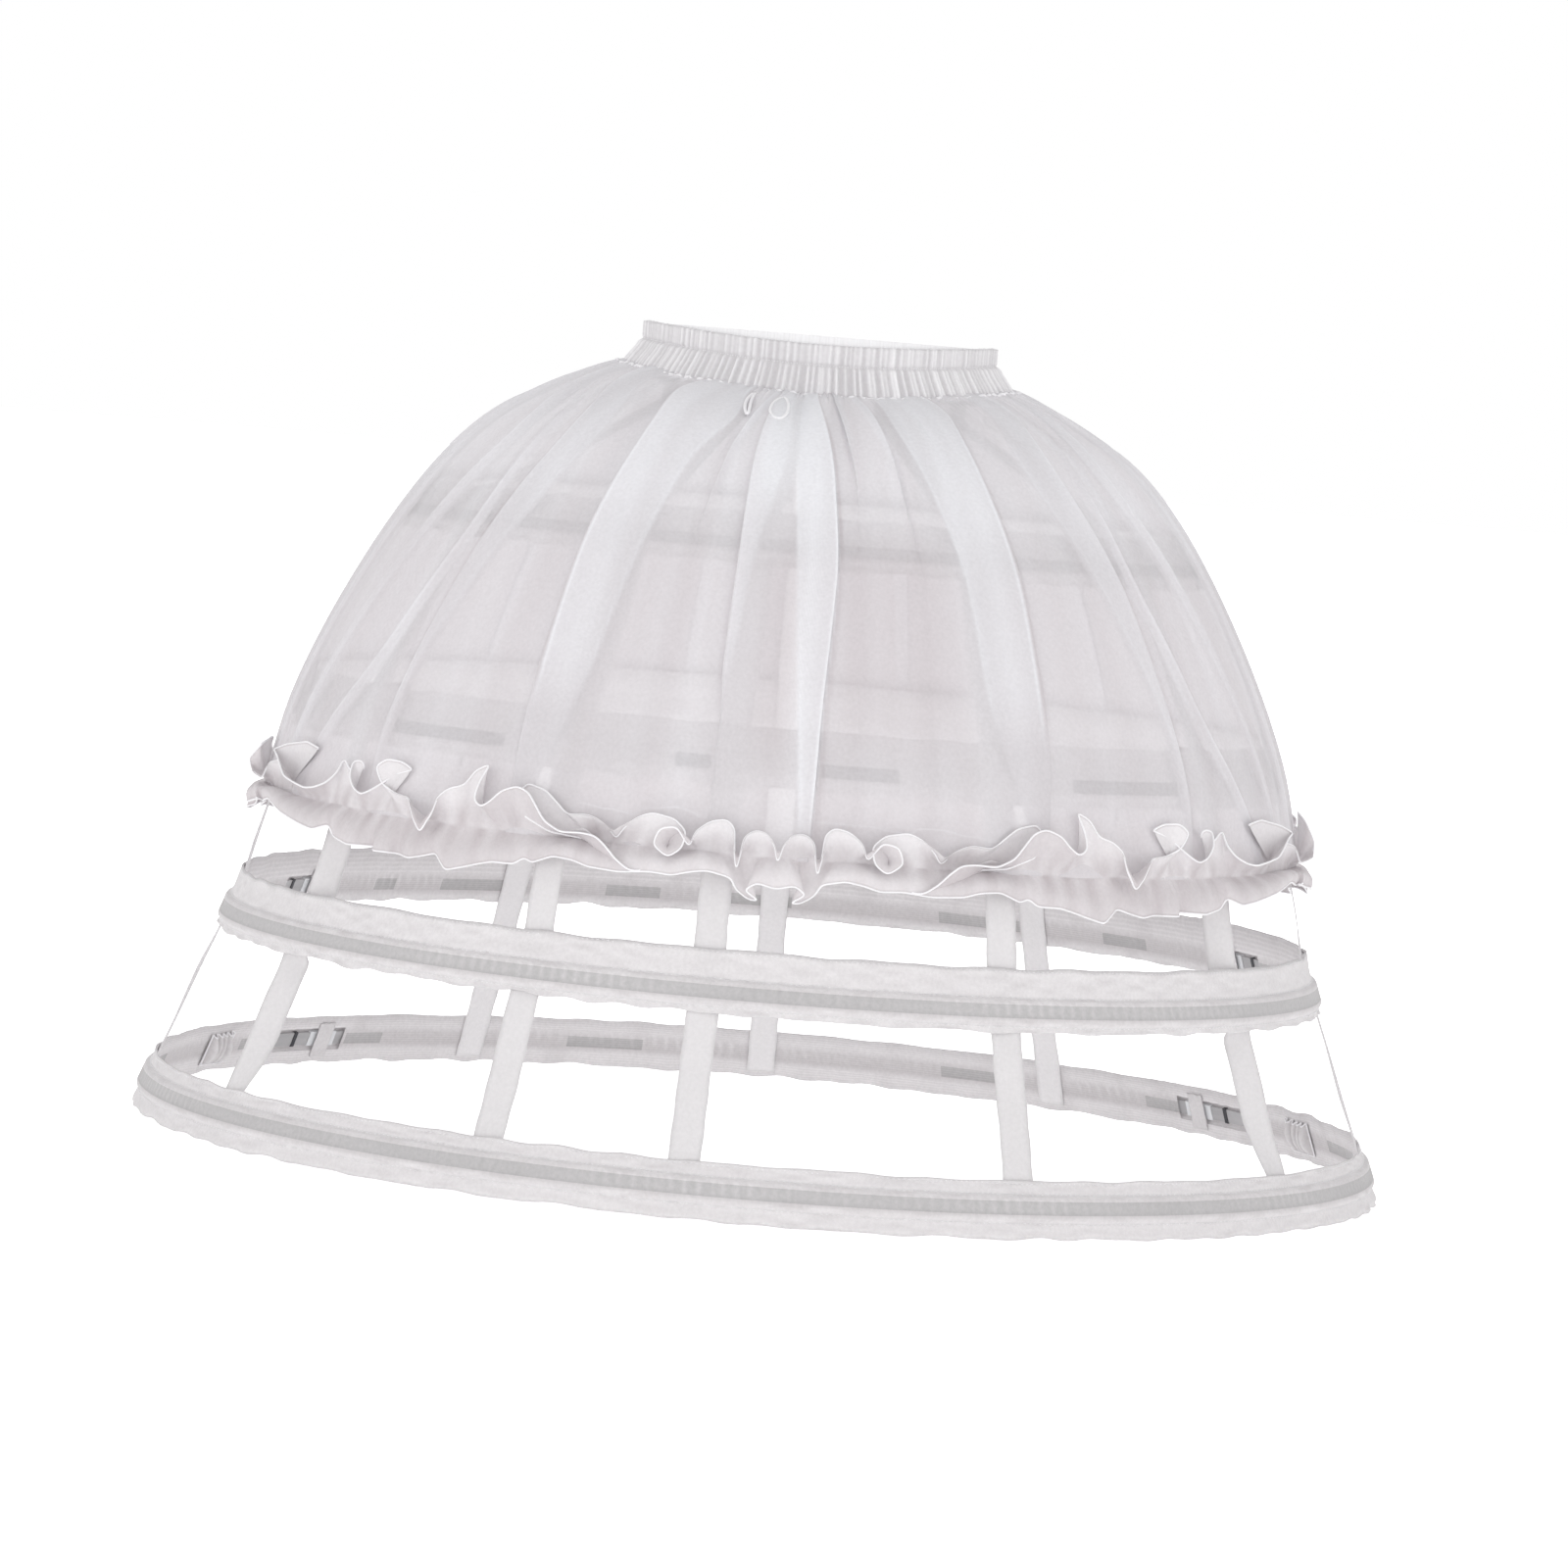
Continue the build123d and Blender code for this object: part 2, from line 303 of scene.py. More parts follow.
def link(material, output, socket):
    material.node_tree.links.new(output, socket)


def noise(material, scale, detail=3.0, roughness=0.55, stretch=(1, 1, 1)):
    """Noise in the object's own metres, stretched by a scale along each axis."""
    place = add(material, "ShaderNodeTexCoord").outputs["Object"]
    mapped = add(material, "ShaderNodeMapping", {"Vector": place, "Scale": stretch})
    inputs = {
        "Vector": mapped.outputs["Vector"], "Scale": scale, "Detail": detail, "Roughness": roughness
    }
    return add(material, "ShaderNodeTexNoise", inputs).outputs["Fac"]


def threads(material, pitch, along):
    """Ridges of threads in the cloth's UVs, one every pitch metres, along "X" or "Y"."""
    uv = add(material, "ShaderNodeTexCoord").outputs["UV"]
    wave_turns = 20  # radians that a wave texture turns through for each unit at a scale of 1
    wave = add(
        material, "ShaderNodeTexWave",
        {"Vector": uv, "Scale": tau / (wave_turns * pitch), "Distortion": 0.6, "Detail": 1.0},
        wave_type="BANDS", bands_direction=along
    )
    return wave.outputs["Fac"]


def remap(material, value, low, high):
    """value, from 0 to 1, spread from low to high."""
    inputs = {"Value": value, "To Min": low, "To Max": high}
    return add(material, "ShaderNodeMapRange", inputs).outputs["Result"]


def combine(material, operation, a, b):
    return add(material, "ShaderNodeMath", {0: a, 1: b}, operation=operation).outputs["Value"]


def blend_colours(material, factor, low, high):
    mix = add(material, "ShaderNodeMix", {"Factor": factor}, data_type="RGBA")
    first, second = [socket for socket in mix.inputs if socket.type == "RGBA"]
    first.default_value, second.default_value = (*low, 1), (*high, 1)
    return next(socket for socket in mix.outputs if socket.type == "RGBA")


def bump(material, shader, height, strength, distance):
    inputs = {"Height": height, "Strength": strength, "Distance": distance}
    normal = add(material, "ShaderNodeBump", inputs).outputs["Normal"]
    link(material, normal, shader.inputs["Normal"])


def sheer_cloth(name, dark, light, cover, pitch, grain, sheen, toned):
    """Woven see-through cloth of the colours and measures that CLOTHS explains."""
    material, shader = new_material(
        name, Roughness=0.6, Sheen_Weight=sheen, Sheen_Roughness=0.45, Specular_IOR_Level=0.25
    )
    warp, weft = threads(material, pitch * MM, "X"), threads(material, pitch * MM, "Y")
    weave = combine(material, "MAXIMUM", warp, weft)
    mottle = noise(material, 420.0, detail=4.0)
    clouds = noise(material, 26.0, detail=2.0)
    fine = remap(material, mottle, 0, 0.65 * (1 - toned))
    broad = remap(material, clouds, 0, 0.35 * (1 - toned))
    # Painted light and shade: the piece's tone attribute blends the crease and ridge colours.
    ridge = add(material, "ShaderNodeAttribute", attribute_name="tone").outputs["Fac"]
    tone = combine(material, "ADD", fine, broad)
    tone = combine(material, "ADD", tone, remap(material, ridge, 0, toned))
    link(material, blend_colours(material, tone, dark, light), shader.inputs["Base Color"])
    woven = remap(material, weave, cover - grain, cover + grain)
    uneven = remap(material, mottle, -grain, grain)
    link(material, combine(material, "ADD", woven, uneven), shader.inputs["Alpha"])
    height = combine(material, "ADD", weave, remap(material, mottle, 0, 1.5))
    bump(material, shader, height, 0.35, 0.25 * MM)
    return material


# Each cloth: its colours in a crease and on a ridge (a shaded and a lit copy), how much of what
# lies behind a layer it hides, the pitch of its threads in millimetres, how uneven its cover is,
# its sheen, and the share of its colour that follows the piece's tone of painted light and shade.
CLOTHS = {
    "organza": ((0.66, 0.615, 0.635), (0.95, 0.955, 0.985), 0.66, 0.45, 0.07, 0.1, 0.85),
    "frill_organza": ((0.52, 0.47, 0.485), (0.86, 0.84, 0.855), 0.86, 0.45, 0.06, 0.15, 0.8),
    "casing_cloth": ((0.60, 0.57, 0.58), (0.87, 0.85, 0.86), 0.82, 0.6, 0.08, 0.1, 0.6),
    "channel_cloth": ((0.57, 0.555, 0.56), (0.92, 0.90, 0.905), 0.56, 0.6, 0.08, 0.1, 0.6),
    "worn_channel_cloth": ((0.57, 0.555, 0.56), (0.92, 0.90, 0.905), 0.10, 0.6, 0.08, 0.1, 0.6),
    "bare_channel_cloth": ((0.10, 0.10, 0.11), (0.24, 0.24, 0.25), 0.60, 0.6, 0.08, 0.1, 0.6),
    "tape_cloth": ((0.66, 0.64, 0.65), (0.92, 0.905, 0.915), 0.90, 0.7, 0.05, 0.1, 0.7),
    "waistband_cloth": ((0.56, 0.54, 0.555), (0.97, 0.96, 0.975), 0.95, 0.5, 0.03, 0.3, 0.7),
}


def grained(name, grain, colours, strength, depth, rough=None, **sockets):
    """Finish whose colour, bump and, where rough gives its range, roughness follow one grain."""
    material, shader = new_material(name, **sockets)
    value = noise(material, **grain)
    link(material, blend_colours(material, value, *colours), shader.inputs["Base Color"])
    if rough:
        link(material, remap(material, value, *rough), shader.inputs["Roughness"])
    bump(material, shader, value, strength, depth * MM)
    return material


def make_thread():
    twist = {"scale": 1500.0, "detail": 1.0}
    colours = (0.78, 0.77, 0.79), (0.93, 0.92, 0.94)
    return grained("white_thread", twist, colours, 0.5, 0.15, Roughness=0.45, Sheen_Weight=0.3)


def make_elastic():
    ribs = {"scale": 900.0, "detail": 1.0, "stretch": (1, 1, 0.1)}
    colours = (0.72, 0.71, 0.72), (0.85, 0.85, 0.86)
    return grained("elastic", ribs, colours, 0.6, 0.3, Roughness=0.7, Sheen_Weight=0.1)


def make_hoop_strip():
    scuffs = {"scale": 120.0, "detail": 5.0, "stretch": (0.2, 0.2, 1)}
    colours = (0.27, 0.265, 0.275), (0.50, 0.49, 0.50)
    return grained("hoop_strip", scuffs, colours, 0.2, 0.1, rough=(0.28, 0.5))


def make_connector_plastic():
    flow = {"scale": 90.0, "detail": 2.0}
    colours = (0.66, 0.67, 0.69), (0.78, 0.79, 0.81)
    return grained("connector_plastic", flow, colours, 0.15, 0.1, (0.25, 0.4), Coat_Weight=0.3)


def make_crimp_steel():
    brushed = {"scale": 700.0, "detail": 3.0, "stretch": (1, 1, 0.08)}
    colours = (0.03, 0.03, 0.035), (0.10, 0.10, 0.11)
    return grained("crimp_steel", brushed, colours, 0.2, 0.05, (0.35, 0.55), Metallic=0.9)


# ---------------- overskirt

SEAM_RADIUS = 0.1275  # of the waistband's flared lower edge
SEAM_HEIGHT_SIDE = -0.008
SEAM_DIP = 0.012  # of the seam at the front and back below the sides
SKIRT_COLUMNS = 2200
SKIRT_ROWS = 45
SKIRT_CLOTH_WIDTH = 2.7
FOLD_PEAK = 0.6495  # highest value of the unscaled fold wave
FOLD_DEPTH = 2.6 * MM
FOLD_LENGTHS = (0.030, 0.064, 0.104, 0.184, 0.284, 0.374)  # down the cloth

# Soft light and shade between the front folds: azimuths in degrees and lengths down the cloth
# between which it lies, and how much lighter the cloth is there
SKIRT_SHADES = (
    ((-7.5, -0.5), (0.02, 0.13), 0.40), ((-4.5, 0.0), (0.18, 0.32), -0.28),
    ((5.5, 19.0), (0.17, 0.30), -0.26), ((-21.0, -10.0), (0.17, 0.27), -0.08)
)


class Fold:
    """A fold of the overskirt, three layers deep, that lies between two edges.

    The outer edge is the free one on the outside, and the inner one is the turn underneath.
    Both are azimuths in degrees at each of FOLD_LENGTHS.
    """

    def __init__(self, outer, inner, cloth, spread, light=1.0, until=1.0, crisp=1.0):
        self.outer, self.inner = np.radians(outer), np.radians(inner)
        self.side = np.sign(self.outer[0] - self.inner[0])
        self.cloth = radians(cloth)  # its middle in the cloth, laid out even
        self.spread = radians(spread)
        self.light = light
        self.until = until  # length down the cloth where its light is gone
        self.crisp = crisp  # how much of a bright line its edges have

    def edges(self, down):
        """Outer and inner edge at lengths down the cloth."""
        steps = np.linspace(-0.02, 0.02, 9)
        soft = [np.interp(down + step, FOLD_LENGTHS, self.outer) for step in steps]
        deep = [np.interp(down + step, FOLD_LENGTHS, self.inner) for step in steps]
        return sum(soft) / len(steps), sum(deep) / len(steps)

    def share(self, cloth):
        """0 to 1 across the fold's stretch of cloth."""
        return np.clip(beside(cloth, self.cloth) / self.spread + 0.5, 0, 1)


def plain_fold(edge, overlap, low_overlap, side, spread, light=0.5):
    """A fold that hangs straight down, and gets narrower from its top to the hem."""
    shares = np.linspace(0, 1, len(FOLD_LENGTHS))
    inner = edge - side * (overlap + (low_overlap - overlap) * shares)
    return Fold([edge] * len(shares), inner, edge - side * overlap / 2, spread, light)


FRONT_FOLDS = (
    # The centre fold, the soft one beside it and the three short ones near the waist
    ((0.3, 1.6, 3.5, 4.8, 3.5, 3), (-2.5, -3, -2, -0.5, 1, 2.2), 2, 7, 1.3, 0.385),
    ((-8.8, -8.6, -8.9, -8.2, -7.8, -7.6), (-5, -4.2, -3.6, -6.6, -7.5, -7.4), -7, 6, 0.9, 1, 0.3),
    ((4.6, 5.4, 6.9, 7.9, 8, 8), (5.8, 6.7, 7.2, 8, 8.1, 8.1), 8.2, 3, 0.6, 0.12, 0.5),
    ((11.2, 11.9, 13.6, 16.1, 16.1, 16.1), (9.8, 10.7, 13.2, 16, 16, 16), 14, 4, 0.6, 0.14, 0.5),
    (
        (-10.5, -11.4, -13.6, -15.6, -15.6, -15.6), (-9.6, -10.5, -13.1, -15.5, -15.5, -15.5),
        -13.5, 4, 0.5, 0.14, 0.5,
    ),
    # The broad ones on both sides, and those beyond them
    ((31.5, 28.4, 28.2, 29.9, 29.6, 29), (16, 15.5, 18.4, 22.3, 23.3, 28.6), 26, 15, 1, 0.31),
    ((-32.5, -28.8, -28.5, -30, -29.6, -29), (-17.5, -13.6, -19, -22.1, -24, -28.6), -26, 15, 1, 0.31),
    ((55, 47, 44.7, 48.5, 49.8, 50), (46, 40, 38.1, 43.8, 49, 49.7), 44, 11, 0.5),
    ((-57, -47.5, -44.9, -48, -49.6, -50), (-47, -40, -38.3, -43.9, -48.8, -49.7), -44, 11, 0.5),
    ((60.3, 54.3, 50.4, 50.8, 56.2, 66), (60, 54, 50, 49.7, 54.8, 64.6), 54, 5, 0.3),
    ((-60.3, -54.3, -50.4, -51.2, -56.4, -66.4), (-60, -54, -50, -50, -55, -65), -54, 5, 0.3),
    ((70, 62, 58, 63.5, 68.5, 72), (65, 58.5, 55.9, 61.5, 67.3, 71), 62.5, 6, 0.4),
    ((-70, -62.5, -58.3, -64, -69, -72.5), (-65, -59, -56, -62, -67.5, -71.4), -62.5, 6, 0.4),
)
# The sides and the back: edge, overlaps at the top and at the hem, side and spread
PLAIN_FOLDS = (
    (79, 3.5, 1, 1, 8), (-79, 3.5, 1, -1, 8), (89.5, 3, 0.5, 1, 7), (-89, 3, 0.5, -1, 7),
    (102, 6, 3, 1, 11), (-101, 6, 3, -1, 11), (112.5, 3, 0.5, -1, 7), (-114, 3.2, 0.5, 1, 7),
    (127.5, 6.5, 3.5, 1, 12), (-128.5, 6.5, 3.5, -1, 12), (137.5, 2.5, 0.5, 1, 6),
    (-139, 2.8, 0.5, -1, 6), (148.5, 8, 4.5, -1, 13), (-150, 7.5, 4.5, 1, 13), (166.5, 3, 0.8, 1, 7),
    (-167.5, 3, 0.8, -1, 7), (-179, 8, 4.5, 1, 13)
)
FOLDS = [Fold(*row) for row in FRONT_FOLDS] + [plain_fold(*row) for row in PLAIN_FOLDS]


def skirt_profile():
    """Radius and height down the overskirt, evenly spaced, from its seam to its hem."""
    hem_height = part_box("overskirt")[0].z
    top = SEAM_HEIGHT_SIDE - SEAM_DIP
    heights = np.linspace(top - 2.5 * MM, hem_height + 0.5 * MM, 240)
    radii = outer_radius("overskirt", heights)
    radii = np.concatenate([[SEAM_RADIUS - 1 * MM], radii])
    heights = np.concatenate([[top + 1 * MM], heights])
    steps = np.hypot(np.diff(radii), np.diff(heights))
    length = np.append(0, np.cumsum(steps))
    return length, radii, heights


def fold_wave(x):
    """Out and back over 0 to 1: up to 1 at a third, down to -1 at two thirds, flat at the ends."""
    return np.sin(tau * x) * np.sin(pi * x) ** 2 / FOLD_PEAK


def seam_height(azimuth):
    """Height of the waist seam at an azimuth."""
    return SEAM_HEIGHT_SIDE - SEAM_DIP * np.cos(azimuth) ** 2


def carried(cloth, down):
    """Azimuth of the cloth, laid out even, once the folds' middles are where they belong."""
    folds = sorted(FOLDS, key=lambda fold: fold.cloth)
    places = np.array([fold.cloth for fold in folds])
    shifts = []
    for fold in folds:
        outer, inner = fold.edges(down)
        shifts.append((outer + inner) / 2 - fold.cloth)
    places = np.concatenate([[places[-1] - tau], places, [places[0] + tau]])
    shifts = [shifts[-1], *shifts, shifts[0]]
    azimuth = np.empty(np.broadcast_shapes(cloth.shape, down.shape))
    for row in range(len(down)):
        here = [shift[row, 0] for shift in shifts]
        azimuth[row] = cloth[0] + np.interp(cloth[0], places, here)
    return azimuth


def skirt_tone(azimuth, down, rng):
    """Tone of the overskirt, painted light and shade: lighter where the folds lie, with a painted
    bright line on their edges.
    """
    upper = 1 - ease(down, 0.13, 0.20)
    tone = 0.30 + 0.22 * upper
    tone = tone + 0.05 * ripple(rng, azimuth, 9, 40) + 0.04 * ripple(rng, azimuth, 30, 90)
    for fold in FOLDS:
        outer, inner = fold.edges(down)
        across = fold.side * beside(azimuth, outer)
        overlap = abs(outer - inner)
        inside = (1 - ease(across, -0.003, 0.003)) * ease(across, -overlap - 0.009, -overlap + 0.003)
        there = ease(overlap, 0.004, 0.016) * (1 - ease(down, fold.until - 0.05, fold.until))
        edge = hump(across, 0.0035) + 0.35 * hump(across + overlap, 0.005)
        edge = edge - 0.8 * hump(across - 0.010, 0.0045)  # the shade under the edge
        line = (0.18 + 0.32 * fold.light) * fold.crisp
        tone = tone + 0.26 * fold.light * inside * there + line * edge * there
    place = np.degrees(azimuth)
    for (left, right), (top, bottom), amount in SKIRT_SHADES:
        across = ease(place, left - 1.5, left + 1.5) * (1 - ease(place, right - 1.5, right + 1.5))
        along = ease(down, top - 0.02, top + 0.02) * (1 - ease(down, bottom - 0.03, bottom + 0.03))
        tone = tone + amount * across * along
    return tone


def skirt_surface(cloth, down, rng):
    """Points of the overskirt and their tone, at a cloth azimuth and a length down the cloth."""
    length, radii, heights = skirt_profile()
    radius = np.interp(down, length, radii)
    height = np.interp(down, length, heights)
    slope = np.arctan2(np.gradient(heights, length), np.gradient(radii, length))
    tilt = np.interp(down, length, slope)  # direction down the cloth, from straight out

    azimuth = carried(cloth, down)
    out = 0 * azimuth
    near_seam = ease(down, 0.0, 0.075)
    lower = 1 - 0.45 * ease(down, 0.15, 0.35)
    for fold in FOLDS:
        half = fold.spread / 2
        ends = carried(np.array([[fold.cloth - half, fold.cloth + half]]), down)
        overlap = abs(np.subtract(*fold.edges(down)))
        wave = fold_wave(fold.share(cloth))
        there = ease(overlap, 0.0, 0.010)
        azimuth = azimuth + (overlap + (ends[:, 1:] - ends[:, :1]) / 3) / 2 * wave * there
        out = out + fold.side * FOLD_DEPTH * wave * (0.25 + 0.75 * near_seam) * lower * there
    tone = skirt_tone(azimuth, down, rng)

    gathers = ripple(rng, cloth, 105, 150, 30)
    out = out + 0.8 * MM * np.abs(gathers) * (1 - ease(down, 0.004, 0.042))
    for low, high, size, reach in ((58, 84, 1.0, 0.10), (26, 44, 1.2, 0.22), (11, 21, 1.3, 0.33)):
        soft = ripple(rng, cloth, low, high)
        out = out + size * MM * soft * (1 - ease(down, 0.35 * reach, reach)) * near_seam
    flutes = ripple(rng, cloth, 24, 48)
    out = out + 1.2 * MM * flutes * ease(down, 0.24, 0.40)

    lift = seam_height(azimuth) - seam_height(0)
    height = height + lift * (1 - ease(down, 0.0, 0.070))
    rise = (0.3 + 1.2 * near_seam) * MM + np.maximum(out, -1.2 * MM * near_seam)
    return around(azimuth, radius - np.sin(tilt) * rise, height + np.cos(tilt) * rise), tone


def skirt_columns():
    """Cloth azimuths of the overskirt's columns, closer together in its folds."""
    even = np.linspace(-pi, pi, 7201)
    weight = 1 + 0.9 * (1 - ease(abs(even), radians(70), radians(90)))
    for fold in FOLDS:
        weight += 2.2 * np.sin(pi * fold.share(even)) ** 2
    total = np.concatenate([[0], np.cumsum((weight[1:] + weight[:-1]) / 2)])
    return np.interp(np.arange(SKIRT_COLUMNS) / SKIRT_COLUMNS, total / total[-1], even)


def make_overskirt(material):
    rng = np.random.default_rng(11)
    length = skirt_profile()[0][-1]
    share = np.linspace(0, 1, SKIRT_ROWS) ** 1.35
    down = (share * length)[:, None]
    points, tone = skirt_surface(skirt_columns()[None, :], down, rng)
    skirt = grid_object("overskirt_cloth", points, SKIRT_CLOTH_WIDTH, length, wrap=True)
    set_tone(skirt, tone)
    finish_cloth(
        skirt, material, ["overskirt"],
    )


# ---------------- waistband

BAND_COLUMNS = 2000
BAND_TOP_DIP = 0.007  # of the top edge at the front and back
BAND_GATHERS = 178
BAND_UPPER_GATHERS = 196  # that are mixed with those above the stitching
BAND_STITCH_COLUMNS = 5  # from one stitch to the next
STITCH_THREAD = 0.5 * MM
BAND_STITCH_SHARE = 0.4  # of the way down, where the casing is stitched through
BAND_CLOTH_WIDTH = 1.0
# Loops of the edge at the front: azimuth in degrees, height, half width, half height and slant
SEAM_CURLS = ((-7.2, -0.0295, 0.0040, 0.0065, -0.001), (-14.2, -0.0280, 0.0012, 0.0065, -0.003))


def gather_ridges(rng, azimuth, count):
    """Sharp irregular ridges of gathered cloth, from about 0 between them to 1 on them."""
    steps = rng.uniform(0.55, 1.45, count)
    centres = np.cumsum(steps) / steps.sum() * tau - pi
    widths = rng.uniform(0.20, 0.36, count) * tau / count
    sizes = rng.uniform(0.45, 1.0, count)
    return (sizes * hump(beside(azimuth[..., None], centres), widths)).sum(axis=-1)


def seam_curl(azimuth, height, half_width, half_height, slant):
    """Closed loop of the overlocked edge that lies on the overskirt just under the seam."""
    angle = np.arange(48) * tau / 48
    across = half_width * np.cos(angle) + slant * np.sin(angle)
    heights = height + half_height * np.sin(angle)
    radius = outer_radius("overskirt", heights) + 7.0 * MM
    return around(radians(azimuth) + across / SEAM_RADIUS, radius, heights)


def make_waistband(material, thread):
    """Gathered casing round the elastic: up its inner side, over the fold and down its face."""
    rng = np.random.default_rng(5)
    azimuth = np.linspace(-pi, pi, BAND_COLUMNS, endpoint=False)[None, :]
    low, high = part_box("waistband_casing")
    wall = high.x + 0.6 * MM
    inner_wall = section_of("waistband_casing")[0].min() - 0.6 * MM
    top = high.z - BAND_TOP_DIP * np.cos(azimuth) ** 2
    bottom = seam_height(azimuth)
    ridges = gather_ridges(rng, azimuth, BAND_GATHERS)
    upper_ridges = 0.6 * ridges + 0.4 * gather_ridges(rng, azimuth, BAND_UPPER_GATHERS)

    spans = (0, 0.34, 7), (0.37, 0.43, 5), (0.47, 1, 12)  # with most rows at the stitching
    outer_share = np.concatenate([np.linspace(*span) for span in spans])
    t = outer_share[:, None]
    flare = (SEAM_RADIUS - wall) * ease(t, 0.30, 1.15) * 1.25
    groove = hump(t - BAND_STITCH_SHARE, 0.035)
    lower_part = ease(t, BAND_STITCH_SHARE - 0.03, BAND_STITCH_SHARE + 0.05)
    ridge_size = (1.3 + 1.3 * lower_part) * MM * (1 - 0.55 * groove)
    pattern = upper_ridges * (1 - lower_part) + ridges * lower_part
    radius = wall + flare + ridge_size * pattern - 0.8 * MM * groove
    height = top + (bottom - top) * t
    outer = around(azimuth, radius, height)

    fold = around(azimuth, (wall + inner_wall) / 2, top + (0.2 + 0.9 * upper_ridges) * MM)
    inner_share = np.linspace(0.03, 1, 9)[:, None]
    inner_groove = hump(inner_share - BAND_STITCH_SHARE, 0.05)
    inner_radius = inner_wall - 0.9 * MM * upper_ridges * (1 - 0.6 * inner_groove)
    flared_in = (SEAM_RADIUS - wall) * ease(inner_share, 0.45, 1.15) * 0.9
    inner = around(azimuth, inner_radius + flared_in, top + (low.z - top) * inner_share)
    points = np.concatenate([inner[::-1], fold, outer])
    length = 2 * (high.z - low.z)
    band = grid_object("waistband_cloth", points, BAND_CLOTH_WIDTH, length, wrap=True)
    # Painted light and shade: the gathers' ridges lighter, their valleys and the stitched groove
    # darker.
    shade = pattern * (1 - 0.6 * groove)
    inside = np.broadcast_to(upper_ridges, (len(inner) + 1, BAND_COLUMNS))
    set_tone(band, np.concatenate([inside, shade]))

    # Stitches through the casing, and the overlocked edge along the seam.
    stitch_row = outer[np.argmin(abs(outer_share - BAND_STITCH_SHARE))]
    outward = unit(stitch_row * (1, 1, 0))
    starts = np.arange(0, BAND_COLUMNS - BAND_STITCH_COLUMNS, BAND_STITCH_COLUMNS)
    ends = stitch_row[starts + BAND_STITCH_COLUMNS - 1]
    stitches = stitch_object(
        "waistband_stitching", stitch_row[starts], ends, outward[starts], STITCH_THREAD
    )
    finish_trim(stitches, thread)
    scallop = ripple(rng, azimuth[0], 60, 130)
    edge = outer[-1] + around(azimuth[0], (3.0 + 0.5 * scallop) * MM, (-0.3 + 0.6 * scallop) * MM)
    curls = [seam_curl(*curl) for curl in SEAM_CURLS]
    overlock = thread_object("waistband_overlock", [edge, *curls], 1.1 * MM)
    finish_trim(overlock, thread)
    finish_cloth(
        band, material, ["waistband_casing"],
    )


# ---------------- frill

FRILL_COLUMNS = 3600
FRILL_HEADER = 0.030
FRILL_FALL = 0.033
FRILL_EDGE_THREAD = 0.0006
FRILL_FULLNESS = 1.08
FRILL_REACH = 0.024  # that it stands out at most
FRONT_LIMIT = 79  # degrees to either side of the front, up to which the edges below go
JUDGED_RADIUS = 0.378  # of the upright cylinder that the azimuths below lie on, seen from far off
# The frill's two edges, from the front centre outwards on both sides: degrees round from the
# front, millimetres above the stitching, and millimetres out from the overskirt.
HEADER_EDGE = (
    (0, -3, 12), (0.4, 8, 10), (1.2, 14, 6), (2.3, 15.5, 5), (3.3, 11, 7), (3.5, 2, 11), (3.8, -9, 14),
    (4.1, 2, 12), (4.3, 16, 7), (5.1, 20.5, 5), (6.6, 18.5, 6), (7.9, 12, 8), (8.4, 2, 12),
    # a small ring, and the curl above it
    (9.8, 14, 14), (11.4, 12, 15), (11.9, 2, 16), (10.4, -5, 18), (9.1, 1, 16), (8.8, 11, 11),
    (10, 18, 8), (12.3, 20.5, 6), (13.8, 16, 6), (14.9, 9, 6),
    # a wide loop: its back edge goes out, and the front one sweeps down, back and out again
    (15.4, 2, 5), (16.2, 8, 5), (17.5, 13, 5), (18.6, 15, 4), (20.6, 13.5, 4), (22, 21, 5),
    (23.2, 27, 5), (25.3, 30, 4), (26, 22, 2), (25, 10, 2), (22, 2, 2), (18, 0, 2),
    (15, -6, 5), (12.6, -15, 15), (14, -15.5, 18), (15.5, -9, 19), (16.5, -2, 19), (17.6, 3.5, 19),
    (19.2, 4.5, 19), (21.2, 3.5, 19), (23, 9, 18), (24, 17, 16), (25, 25, 13), (26.3, 28, 12),
    (28, 24, 13), (29, 17, 14),
    # a cup and its peak
    (30, 12.5, 15), (30.9, 17, 14), (30.6, 27, 11), (29.7, 39, 7), (31.2, 34, 5), (32.2, 24, 6),
    (34, 21, 9), (35.1, 15, 12), (35.5, 4, 15), (36.7, -8, 17), (37.6, 0, 16), (38.6, 12, 11),
    (40.5, 13, 6), (42.6, 18, 6), (43.9, 28, 8), (42.6, 33.5, 7), (40.4, 33, 5), (38.8, 29, 4),
    (41, 24, 2), (43.6, 14, 10), (45.2, 9.5, 14), (46.6, 13, 14), (47.5, 20, 12), (47.4, 29, 8),
    (46, 30, 6), (45.4, 25, 4), (47.5, 22, 3), (49, 29, 4), (49.5, 20, 8),
    # the petal at the side
    (51, 13, 13), (53, 9, 16), (54.8, 7.5, 17), (57.2, 9.5, 18), (59.6, 12, 18), (60.8, 17, 16),
    (62.2, 23, 14), (63.4, 25.5, 11), (60.5, 30.5, 8), (56.2, 35, 6), (53.6, 32, 4), (56, 28, 2),
    (60, 20, 2), (63.8, 16, 8), (64.6, 6, 14),
)
